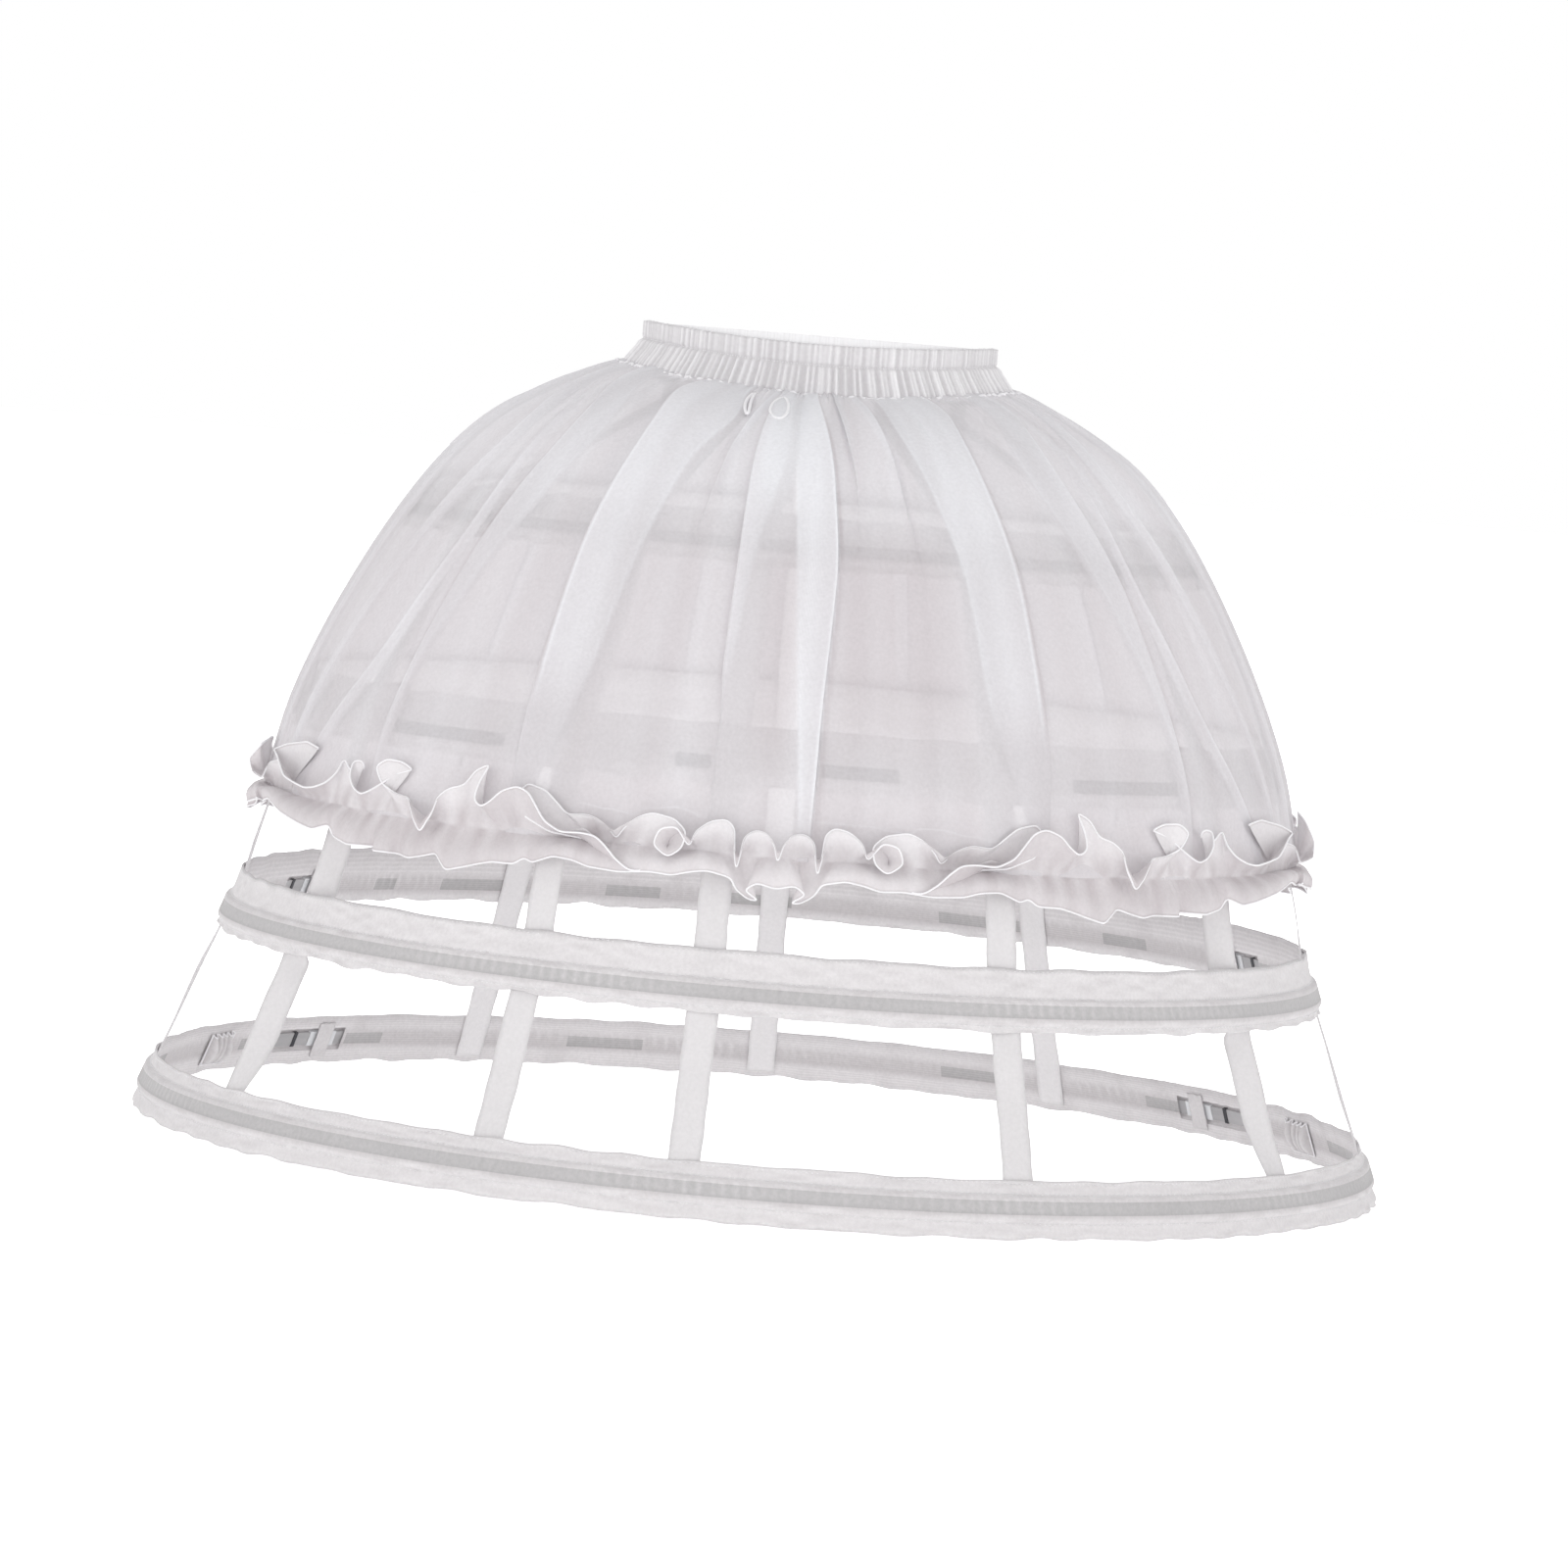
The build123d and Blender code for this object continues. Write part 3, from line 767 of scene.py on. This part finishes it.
FALL_EDGE = (
    (0, -19, 13), (1.8, -16, 14), (2.9, -21, 14), (1.5, -27, 12), (2.4, -27, 8), (3.6, -22, 8),
    (4.3, -14, 14), (6.5, -11, 16), (8.2, -13, 12), (9.8, -16, 13), (12, -15, 15), (15, -17, 16),
    (18, -16, 14), (19.6, -13, 13), (21.6, -12, 13), (23.7, -18, 8), (24.5, -15, 13), (25.6, -20, 10),
    (28, -20, 14), (29.5, -23, 8), (31.4, -26, 14), (33.2, -29, 14), (34.4, -20, 7), (36, -23, 6),
    (37.8, -25, 13), (39, -24, 5), (40.8, -23.5, 14), (42.6, -24, 13), (42.2, -22, 5), (44.4, -22, 14),
    (46.4, -23, 12), (48.6, -20, 7), (49.4, -13, 11), (52.4, -17.5, 17), (55, -15.5, 18),
    (59, -11, 17), (62, -5, 14), (63.5, -9, 8), (65.5, -7, 15),
)


def smooth_round(values, window):
    """Mean of a closed row of values over a window to either side of each."""
    pad = np.concatenate([values[-window:], values, values[:window]])
    return np.convolve(pad, np.ones(2 * window + 1) / (2 * window + 1), mode="valid")


def header_loop(rng, start, width):
    """Edge of one loop of the header, from its foot to its top and back."""
    size, lean = rng.uniform(0.6, 1.05), rng.uniform(-0.3, 0.3)
    foot, peak = ((0.1, 5, 15), (0.25, 14, 18)), ((0.2, 26, 12), (0.45, 32, 5), (0.75, 27, 7))
    shape = *foot, *((x + lean, up, out) for x, up, out in peak), (0.8, 13, 15)
    return [(start + width * x, 2 + up * size, out * rng.uniform(0.8, 1.1)) for x, up, out in shape]


def fall_wave(rng, start, width):
    """Edge of one wave of the fall."""
    points = []
    for x, up, out in ((0.0, -23, 5), (0.3, -25, 9), (0.4, -28, 15), (0.7, -27, 14), (0.75, -24, 7)):
        points.append((start + width * x, up * rng.uniform(0.85, 1.1), out * rng.uniform(0.8, 1.1)))
    return points


def edge_path(rng, front, wave, radius):
    """Azimuth, height and outward reach of an edge, and where its cloth meets the stitching."""
    sides = []
    sagging = wave is fall_wave
    for side in (-1, 1):
        points, start = [], FRONT_LIMIT
        for place, up, out in front:
            seen = sin(radians(place)) * JUDGED_RADIUS / (radius + out * MM)
            points.append((degrees(asin(min(1.0, seen))), up, out))
        while start < 170:
            width = rng.uniform(5, 14)
            points += wave(rng, start, width)
            start += width + rng.uniform(0, 2)
        points = np.array(points)
        if sagging:  # the fall stands out at the sides, and hangs at the back
            points[len(front) :, 1] *= 0.35 + 0.65 * ease(points[len(front) :, 0], 72, 105)
        sides.append(points * (side, 1, 1))
    points = np.concatenate([sides[0][::-1], sides[1][1:], [sides[0][-1] + (360, 0, 0)]])
    points = points * (radians(1), MM, MM)
    steps = np.linalg.norm(np.diff(points, axis=0) * (radius, 1, 1), axis=1)
    length = np.append(0, np.cumsum(steps))
    even = np.arange(FRILL_COLUMNS) / FRILL_COLUMNS * length[-1]
    azimuth, up, out = (np.interp(even, length, points[:, axis]) for axis in range(3))
    ramp = even / length[-1] * tau
    window = max(2, round(1.8 * MM / length[-1] * FRILL_COLUMNS))
    drift, up, out = (smooth_round(smooth_round(v, window), window) for v in (azimuth - ramp, up, out))
    seam = drift
    for _ in range(3):
        seam = smooth_round(seam, FRILL_COLUMNS // 70)
    azimuth, seam = drift + ramp, seam + ramp
    seam = np.maximum.accumulate(seam + 1e-5 * ramp)
    return seam, azimuth, up, out


def strip(share, path, length, radius):
    """Azimuth, height and reach of a strip of cloth from the stitching to its edge."""
    seam, azimuth, up, out = path
    slack = np.maximum(0, length - np.sqrt(up**2 + out**2 + ((azimuth - seam) * radius) ** 2))
    bend = (
        (seam, seam + 0.25 * (azimuth - seam), seam + 0.8 * (azimuth - seam), azimuth),
        (0 * up, 0.40 * up + 0.30 * slack, 0.75 * up + 0.35 * slack, up),
        (0 * out, 0.30 * out + 0.10 * slack, 0.85 * out + 0.50 * slack, out),
    )
    t = share
    weights = ((1 - t) ** 3, 3 * (1 - t) ** 2 * t, 3 * (1 - t) * t**2, t**3)
    return [sum(weight * end for weight, end in zip(weights, ends)) for ends in bend]


def frill_half(share, path, gathers, length, radius, height, spread, lean):
    """Points of the header or the fall, and what their tone follows.

    spread is how much further from the overskirt its edge stays than its stitching, and lean is
    how much it leans in with the overskirt as it goes up.
    """
    turn, rise, reach = strip(share, path, length, radius)
    near = (1 - share) ** 2
    reach = np.maximum(reach + 0.5 * MM * gathers * near, 1.4 * MM + spread * share**0.5)
    reach = FRILL_REACH * np.tanh(reach / FRILL_REACH)
    points = around(turn, radius + reach - lean * np.maximum(rise, 0), height + rise)
    middle = 1 - ease(abs(np.degrees(beside(turn, 0))), 13, 17)
    beside_edge = hump(share - 0.975, 0.02)
    return points, rise, reach, near, middle, beside_edge


def make_frill(material, thread):
    """One strip of cloth sewn on along a line: its header stands up and its fall hangs down."""
    rng = np.random.default_rng(23)
    low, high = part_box("hem_frill")
    height = low.z + FRILL_FALL  # of the stitching
    radius = float(outer_radius("overskirt", [height + 1 * MM])[0]) + 1.6 * MM
    share = np.array([*np.linspace(0, 0.93, 13), 0.965, 1.0])[:, None]
    path = edge_path(rng, HEADER_EDGE, header_loop, radius)
    seam, _, _, out = path
    gathers = np.sin(seam * 420 + ripple(rng, seam, 10, 40))
    header, rise, _, near, middle, beside_edge = frill_half(
        share, path, gathers, FRILL_HEADER, radius, height, 2.2 * MM, 0.19
    )
    # Painted light and shade of the header: lighter where it lies behind its own loops, in the front
    # middle, higher up and near the stitching, with a painted shade line beside the rolled edge.
    behind = 1 - ease(out, 8 * MM, 14 * MM)  # where the header lies behind its own loops
    behind = behind * ease(share, 0.05, 0.65)
    header_tone = 0.06 + 0.50 * behind + 0.18 * middle + 0.16 * ease(rise, 0, 25 * MM)
    light = 0.30 + 0.12 * ripple(rng, seam, 60, 200)
    header_tone = header_tone + light * (0.3 + near) - 0.6 * beside_edge

    # The fall hangs from the same stitching.
    own_seam, azimuth, up, out = edge_path(rng, FALL_EDGE, fall_wave, radius)
    wrapped = np.concatenate([own_seam - tau, own_seam, own_seam + tau])
    azimuth = np.interp(seam, wrapped, np.concatenate([azimuth - tau, azimuth, azimuth + tau]))
    up, out = (np.interp(seam, wrapped, np.tile(values, 3)) for values in (up, out))
    share = np.array([*np.linspace(0, 0.93, 10)[1:], 0.965, 1.0])[:, None]
    path = seam, azimuth, up, out
    fall, _, reach, near, middle, beside_edge = frill_half(
        share, path, gathers, FRILL_FALL, radius, height, 0.0, 0.0
    )
    # Painted light and shade of the fall: lighter towards its edge, in the front middle, the further
    # it stands out from the overskirt and near the stitching, with a painted shade line beside the
    # rolled edge.
    fall_tone = 0.12 + 0.10 * share + 0.20 * middle + 0.50 * (reach / FRILL_REACH - 0.4)
    light = 0.30 + 0.12 * ripple(rng, seam, 60, 200)
    fall_tone = fall_tone + light * (0.3 + near) - 0.5 * beside_edge

    width = FRILL_FULLNESS * tau * radius
    length = high.z - low.z
    points = np.concatenate([header[::-1], fall])
    frill = grid_object("frill_cloth", points, width, length, wrap=True)
    set_tone(frill, np.concatenate([header_tone[::-1], fall_tone]))
    edges = thread_object("frill_rolled_edges", [header[-1], fall[-1]], FRILL_EDGE_THREAD)
    finish_trim(edges, thread)
    finish_cloth(
        frill, material, ["hem_frill"],
    )


# ---------------- casings

CASING_COLUMNS = 900
CHANNEL_FOOT = 0.0088
CHANNEL_CREST = 0.0066
SHEER_HALF = 0.0043  # half the width of the thin cloth over the bone
MOUTHS = {"top": 0.040, "upper": 0.040, "lower": 0.040, "hem": 0.076}
MOUTH_BACK = 0.020
CASING_EDGE = 0.0006  # half the folded edge's thickness
# Degrees round the hoop where the channel's cloth is worn thin enough to show the bone
THIN_STRETCHES = {"top": ((-80, 80),), "upper": ((-50, -32.5), (-12, -8.3), (3.8, 12.4), (33, 50))}
TICK_SPACING = 8 * MM
STITCH_LENGTH = 2.6 * MM
STITCH_SPACING = 3.4 * MM


def casing_rows(hoop):
    """Section of a casing as (out, up), from its top edge down its face and back up inside."""
    web = hoop.inner_face + 2 * CASING_EDGE
    face, foot, crest = hoop.outer_face, CHANNEL_FOOT, CHANNEL_CREST
    front = [(web, up) for up in np.linspace(hoop.above, foot + 1.6 * MM, 6)]
    front += [(web, foot), (0.55 * face, (foot + crest) / 2), (face, crest)]
    front += [(face + 0.1 * MM, up) for up in (SHEER_HALF, 1.6 * MM, -1.6 * MM, -SHEER_HALF)]
    front += [(face, -crest), (0.55 * face, -(foot + crest) / 2), (web, -foot)]
    front += [(web, up) for up in np.linspace(-foot - 1.6 * MM, -hoop.below, 4)]
    back_rows = (-hoop.below + 0.5 * MM, -foot, -SHEER_HALF, SHEER_HALF, foot, hoop.above - 0.5 * MM)
    return np.array(front + [(hoop.inner_face, up) for up in back_rows])


def make_casing(hoop, material, channel_material, thread):
    """Band of cloth with the bone's channel stitched along it, and thinner cloth over the bone."""
    rng = np.random.default_rng(100 + HOOPS.index(hoop.name))
    azimuth = np.linspace(-pi, pi, CASING_COLUMNS, endpoint=False)[None, :]
    section = casing_rows(hoop)
    depth, level = section[:, :1], section[:, 1:]
    top_edge = ease(level, CHANNEL_FOOT + 1 * MM, hoop.above)
    low_edge = ease(-level, CHANNEL_FOOT + 1 * MM, hoop.below)
    edge = top_edge + low_edge
    near_stitch = hump(abs(level) - CHANNEL_FOOT, 2.2 * MM)
    pucker = ripple(rng, azimuth, 170, 300, 30)
    out = depth + 0.22 * MM * pucker * (near_stitch + 0.5 * edge)
    out = out + 0.5 * MM * ripple(rng, azimuth, 12, 60) * top_edge
    out = out + 0.5 * MM * ripple(rng, azimuth, 12, 90) * low_edge
    up = level + 0.35 * MM * ripple(rng, azimuth, 6, 70) * top_edge
    up = up + 0.5 * MM * ripple(rng, azimuth, 6, 90) * low_edge
    points = around(azimuth, *hoop.at(out, up))

    # The inner face is left out where the channel is open at each joint of the bones.
    keep = np.ones((len(points), CASING_COLUMNS), bool)
    inside = np.arange(len(section) - 5, len(section) - 2)[:, None]
    middle = azimuth[0] + pi / CASING_COLUMNS
    for joint in hoop.joints:
        ahead = (abs(joint) - abs(middle)) * hoop.radius
        mouth = (ahead < MOUTHS[hoop.name]) & (ahead > -MOUTH_BACK) & (middle * joint > 0)
        keep[inside, np.flatnonzero(mouth)] = False

    circumference = tau * hoop.radius
    width = hoop.above + hoop.below
    name = f"{hoop.name}_hoop_casing_cloth"
    casing = grid_object(name, points, circumference, 2 * width, wrap=True, tube=True, keep=keep)

    # Tone, painted light and shade: shading of creases along the band, light on the seams and hems,
    # and even ticks over the bone.
    creases = 0
    for turn in (0.7, 1.3):
        size = ripple(rng, azimuth, 20, 90)
        creases = creases + size * np.cos(level / MM * turn + ripple(rng, azimuth, 5, 20))
    across_bone = abs(level) < SHEER_HALF + 0.1 * MM
    count = round(circumference / TICK_SPACING)
    ticks = ease(np.cos(azimuth * count + 0.6 * ripple(rng, azimuth, 9, 30)), 0.2, 0.9)
    lit = 0.45 + 0.16 * creases + 0.30 * near_stitch + 0.30 * ease(edge, 0.8, 1.0)
    over_bone = 0.30 + 0.45 * ticks * (0.5 + 0.5 * ripple(rng, azimuth, 4, 12))
    # Painted shade: a dark line along the bone's lower edge.
    over_bone = over_bone - 0.8 * (level < -0.9 * SHEER_HALF)
    # Painted light: the open hoops' casings are lighter on their inner face, where the cage's inside
    # is in shade.
    if hoop.name in JOINED_HOOPS:
        lit = lit + 0.30 * (depth < 0)
    column = np.degrees(azimuth[0])
    shows = np.zeros(CASING_COLUMNS, bool)
    for start, end in THIN_STRETCHES.get(hoop.name, ((-180, 180),)):
        shows |= (column > start) & (column < end)
    set_tone(casing, np.where(across_bone & shows, over_bone, lit))

    # The channel over the bone is thinner cloth than the band that it is stitched to.
    steep = abs(depth - np.roll(depth, -1)) > 0.5 * MM
    patches = (ripple(rng, middle, 9, 26) > 0.4) & (hoop.name in JOINED_HOOPS)
    narrow = ~steep & (abs(level + np.roll(level, -1)) / 2 < SHEER_HALF)
    thin = narrow & np.where(depth > 0, shows, patches)
    casing.data.polygons.foreach_set("material_index", thin[keep].astype(np.int32))

    # Stitch rows: both sides of the channel, and the hem of each edge.
    starts, ends, outward = [], [], []
    count = int(circumference / STITCH_SPACING)
    start = np.arange(count) / count * tau - pi
    end = start + STITCH_LENGTH / hoop.radius
    web = hoop.inner_face + 2 * CASING_EDGE
    for at in (CHANNEL_FOOT + 0.5 * MM, -CHANNEL_FOOT - 0.5 * MM, hoop.above - 2 * MM):
        place = hoop.at(web + 0.15 * MM, at + 0.25 * MM * ripple(rng, start, 20, 120))
        starts.append(around(start, *place))
        ends.append(around(end, *place))
        outward.append(around(start, cos(hoop.lean), sin(hoop.lean)))
    rows = [np.concatenate(row) for row in (starts, ends, outward)]
    stitches = stitch_object(f"{hoop.name}_hoop_stitching", *rows, STITCH_THREAD)
    finish_trim(stitches, thread)
    for cloth in (material, channel_material):
        casing.data.materials.append(cloth)
    finish_cloth(
        casing, None, [f"{hoop.name}_hoop_casing"],
    )


# ---------------- tapes

TAPE_WIDTH = 0.020
TAPE_THICKNESS = 0.0008
TAPE_GAP = 0.0004
TAPE_COLUMNS = 7
# Degrees that a tape is turned towards the front, and how far down it starts and stops to be
TAPE_TURNS = {"front_side_left": -32, "front_side_right": 32}
TURN_START = (0.300, 0.335)
TURN_STOP = (0.450, 0.500)


def tape_path(hoops, top, bottom):
    """Radius and height down a tape's middle, from its top, past every casing, to its bottom."""
    start = section_of("waist_elastic")[0].min() + TAPE_THICKNESS / 2
    points = [(start, top), (start + 1 * MM, -0.030)]
    for hoop in hoops:
        inside = hoop.inner_face - TAPE_GAP - TAPE_THICKNESS / 2
        points.append(hoop.at(inside, hoop.above + 1 * MM))
        points.append(hoop.at(inside, (hoop.above - hoop.below) / 2))
        points.append(hoop.at(inside, -hoop.below))
    points = [p for p in points if p[1] > bottom + 4 * MM]
    slope = (points[-1][0] - points[-2][0]) / (points[-1][1] - points[-2][1])
    points.append((points[-1][0] + slope * (bottom - points[-1][1]), bottom))
    return np.array(points)


def make_tape(name, hoops, material):
    """Tape that hugs every casing, and twists, bows and shifts a little between them."""
    rng = np.random.default_rng(300 + TAPES.index(name))
    low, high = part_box(f"{name}_tape")
    azimuth = azimuth_of(f"{name}_tape")
    path = tape_path(hoops, high.z, low.z)
    steps = np.hypot(*np.diff(path, axis=0).T)
    length = np.append(0, np.cumsum(steps))
    down = np.linspace(0, length[-1], 150)
    radius = np.interp(down, length, path[:, 0])
    height = np.interp(down, length, path[:, 1])
    free = np.ones_like(down)
    for hoop in hoops:
        free = np.minimum(free, ease(abs(height - hoop.height), 0.022, 0.045))
    free = np.convolve(free, np.ones(5) / 5, mode="same")
    twist = radians(5) * np.sin(down * rng.uniform(14, 22) + rng.uniform(0, tau)) * free
    crossed = hoops[HOOPS.index("lower")]  # to which it's sewn flat
    turned = ease(-height, *TURN_START) * (1 - ease(-height, *TURN_STOP))
    turned = turned * ease(abs(height - crossed.height), 0.006, 0.020)
    turned = radians(TAPE_TURNS.get(name, 0)) * turned
    bow = 1.2 * MM * np.sin(down * rng.uniform(18, 26) + rng.uniform(0, tau)) * free
    bow = bow - TAPE_WIDTH / 2 * abs(np.sin(turned))  # its back edge stays where it is
    twist = twist + turned
    shift = 0.8 * MM * np.sin(down * rng.uniform(9, 15) + rng.uniform(0, tau)) * free

    across = np.linspace(-0.5, 0.5, TAPE_COLUMNS) * TAPE_WIDTH
    wavy = 1 + 0.02 * np.sin(down * 260 + rng.uniform(0, tau))
    twist, bow = twist[:, None], bow[:, None]
    x = across * wavy[:, None] * np.cos(twist) + shift[:, None]
    centre = radius[:, None] + across * np.sin(twist) + bow
    centre = 2 * centre - np.hypot(centre, x)  # so that its edges lie as near the hoops as its middle
    ahead = centre * sin(azimuth) + x * cos(azimuth)
    beyond = -centre * cos(azimuth) + x * sin(azimuth)
    points = np.stack([ahead, beyond, np.broadcast_to(height[:, None], x.shape)], axis=-1)
    tape = grid_object(f"{name}_tape_cloth", points, TAPE_WIDTH, length[-1])
    # Painted light: tapes at the sides and back get a lighter tone than those at the front, against
    # the shade inside the cage.
    painted_back_light = 0.25 + 0.65 * ease(abs(azimuth), radians(60), radians(120))
    set_tone(tape, np.full(x.shape, painted_back_light))
    thicken(tape, TAPE_THICKNESS * 0.8, 0)
    finish_cloth(
        tape, material, [f"{name}_tape"],
    )


# ---------------- joint trim

TAB_LENGTH = 0.015  # round the hoop
TAB_WIDTH = 0.027
RUCHE_LENGTH = 0.034  # bunched
RUCHE_CLOTH = 0.052  # laid flat
RUCHE_WIDTH = 0.024
RUCHE_LOOPS = 4.5


def make_tab(hoop, side, material):
    """Milky band stitched over the casing's mouth, a little crowned and with wavy ends."""
    node = f"{hoop.name}_hoop_{side}_tab"
    rng = np.random.default_rng(500 + len(node) + HOOPS.index(hoop.name))
    middle = azimuth_of(node)
    along = np.linspace(-0.5, 0.5, 13)[None, :]
    across = np.linspace(0.5, -0.5, 17)[:, None]
    azimuth = middle + along * TAB_LENGTH / hoop.radius
    up = across * TAB_WIDTH
    crown = 0.5 * MM * np.cos(across * pi) * np.cos(along * pi)
    out = hoop.inner_face - 0.6 * MM - crown + 0.12 * MM * rng.normal(size=(17, 13))
    up = up + 0.35 * MM * np.sin(azimuth * 2400 + middle)
    points = around(azimuth, *hoop.at(out, up))
    tab = grid_object(f"{node}_band", points, TAB_LENGTH, TAB_WIDTH)
    # Painted light and shade: lighter along the tab's crowned middle, darker towards its edges.
    set_tone(tab, np.broadcast_to(0.85 + 0.1 * np.cos(up / TAB_WIDTH * tau), (17, 13)))
    thicken(tab, 0.5 * MM)
    finish_cloth(
        tab, material, [node],
    )


def make_ruche(hoop, side, material, thread):
    """Scrap of casing cloth bunched into puckered loops on the inside of the hem hoop."""
    node = f"{hoop.name}_hoop_{side}_ruche"
    rng = np.random.default_rng(600 + len(side))
    middle = azimuth_of(node)
    along = np.linspace(-0.5, 0.5, 90)[None, :]
    across = np.linspace(0.5, -0.5, 16)[:, None]
    heading = 1.25 * np.sin(tau * RUCHE_LOOPS * along + 0.6 * np.sin(9 * along + 2 * across))
    shift = np.cumsum(np.cos(heading), axis=1)
    shift = (shift - shift.mean(axis=1, keepdims=True)) / np.ptp(shift, axis=1)[:, None]
    swing = np.cumsum(np.sin(heading), axis=1)
    swing -= swing.min(axis=1, keepdims=True)
    swing /= swing.max()
    puff = 0.45 + 0.55 * np.cos(across * pi)
    out = hoop.inner_face - 0.5 * MM - 7.5 * MM * swing * puff
    up = across * RUCHE_WIDTH * (1 - 0.16 * swing)
    up = up + 0.5 * MM * rng.normal(size=(1, 90)).cumsum() / 6
    points = around(middle + shift * RUCHE_LENGTH / hoop.radius, *hoop.at(out, up))
    rim = np.concatenate([points[0], points[-1][::-1]])
    edge = thread_object(f"{node}_edge", [rim], 0.6 * MM)
    finish_trim(edge, thread)
    ruche = grid_object(f"{node}_cloth", points, RUCHE_CLOTH, RUCHE_WIDTH)
    # Painted light and shade: lighter where the loops bulge out from the casing, darker in between and
    # near it.
    set_tone(ruche, 0.15 + 1.1 * swing * puff)
    finish_cloth(
        ruche, material, [node],
    )


# ---------------- studio

CAMERA_DISTANCE = 4.28
CAMERA_HEIGHT = -0.008
AIM_HEIGHT = -0.280
CAMERA_LENS = 147.4
CAMERA_ROLL = radians(4.7)
BACKDROP = 1.0  # what the camera sees behind the cage
# Painted shade: the studio seen through cloth is darker and pinker, as the cage's shaded inside.
BEHIND = (0.47, 0.425, 0.44)  # what it sees of that through cloth
AMBIENT = 0.76
FLOOR_GLOW = 0.62
FLOOR_BOUNCE = 0.65  # share of the floor's own light that reaches the cage
KEY_POWER = 16
FILL_POWER = 14
TOP_POWER = 13


def aimed(place):
    """Transform of what stands at a place and faces the middle of the cage."""
    aim = Vector((0, 0, AIM_HEIGHT)) - Vector(place)
    return Matrix.Translation(place) @ aim.to_track_quat("-Z", "Y").to_matrix().to_4x4()


def make_camera():
    camera = add_object("camera", bpy.data.cameras.new("camera"))
    camera.data.lens = CAMERA_LENS
    camera.data.clip_end = 50
    place = (0, -CAMERA_DISTANCE, CAMERA_HEIGHT)
    camera.matrix_world = aimed(place) @ Matrix.Rotation(CAMERA_ROLL, 4, "Z")
    bpy.context.scene.camera = camera


def make_light(name, place, size, power):
    light = bpy.data.lights.new(name, "AREA")
    light.size = size
    light.energy = power
    add_object(name, light).matrix_world = aimed(place)


def seen_by_camera(holder, unseen, seen):
    """A strength of the studio's light: one that lights the cage, and one that the camera sees."""
    ray = add(holder, "ShaderNodeLightPath").outputs["Is Camera Ray"]
    return remap(holder, ray, unseen, seen)


def behind_cloth(holder, plain, dimmed):
    """The studio's own colour: one seen bare by the camera, and one seen through cloth, made darker
    as painted shade for the cage's inside.
    """
    path = add(holder, "ShaderNodeLightPath")
    through = combine(holder, "MINIMUM", path.outputs["Transparent Depth"], 1.0)
    through = combine(holder, "MULTIPLY", through, path.outputs["Is Camera Ray"])
    return blend_colours(holder, through, plain, dimmed)


def make_studio():
    scene = bpy.context.scene
    scene.view_settings.view_transform = "Standard"
    scene.cycles.transparent_max_bounces = 32
    world = bpy.data.worlds.new("studio")
    world.use_nodes = True
    background = world.node_tree.nodes["Background"]
    link(world, seen_by_camera(world, AMBIENT, BACKDROP), background.inputs["Strength"])
    link(world, behind_cloth(world, (1, 1, 1), BEHIND), background.inputs["Color"])
    scene.world = world

    height = cad_box[0][2] - 1 * MM
    corners = np.array([(-30, -30, height), (30, -30, height), (30, 30, height), (-30, 30, height)])
    floor = new_object("studio_floor", corners, np.array([[0, 1, 2, 3]]))
    material, shader = new_material("pale_floor", Roughness=0.9, Specular_IOR_Level=0.1)
    link(material, behind_cloth(material, (0.94, 0.94, 0.94), BEHIND), shader.inputs["Base Color"])
    place = add(material, "ShaderNodeTexCoord").outputs["Object"]
    reach = add(material, "ShaderNodeVectorMath", {0: place}, operation="LENGTH").outputs["Value"]
    inputs = {"Value": reach, "From Min": 0.5, "From Max": 2.2, "To Min": FLOOR_GLOW, "To Max": 1.0}
    glow = add(material, "ShaderNodeMapRange", inputs).outputs["Result"]
    glow = combine(material, "MULTIPLY", glow, seen_by_camera(material, FLOOR_BOUNCE, 1.0))
    link(material, behind_cloth(material, (1, 1, 1), (0, 0, 0)), shader.inputs["Emission Color"])
    link(material, glow, shader.inputs["Emission Strength"])
    floor.data.materials.append(material)
    make_light("key", (-0.4, -4.1, 0.2), 1.8, KEY_POWER)
    make_light("top", (0.0, -1.6, 3.2), 2.0, TOP_POWER)
    for side in (-1, 1):
        make_light("fill", (side * 3.4, -2.0, 0.5), 1.8, FILL_POWER)


# ---------------- the whole scene

# What covers each hoop's bone
CHANNELS = {
    "top": "worn_channel_cloth", "upper": "bare_channel_cloth", "lower": "channel_cloth",
    "hem": "channel_cloth"
}

hoops = [Hoop(name) for name in HOOPS]
cloths = {name: sheer_cloth(name, *row) for name, row in CLOTHS.items()}
thread = make_thread()

make_camera()
make_studio()
make_waistband(cloths["waistband_cloth"], thread)
make_overskirt(cloths["organza"])
make_frill(cloths["frill_organza"], thread)
for hoop in hoops:
    make_casing(hoop, cloths["casing_cloth"], cloths[CHANNELS[hoop.name]], thread)
for name in TAPES:
    make_tape(name, hoops, cloths["tape_cloth"])
for name in JOINED_HOOPS:
    for side in SIDES:
        make_tab(hoops[HOOPS.index(name)], side, cloths["casing_cloth"])
for side in SIDES:
    make_ruche(hoops[-1], side, cloths["casing_cloth"], thread)

finishes = {
    "elastic": make_elastic(), "hoop_strip": make_hoop_strip(),
    "connector_plastic": make_connector_plastic(), "crimp_steel": make_crimp_steel()
}
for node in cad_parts.values():
    slots = node.material_slots
    if slots and slots[0].material.name in finishes:
        slots[0].material = finishes[slots[0].material.name]
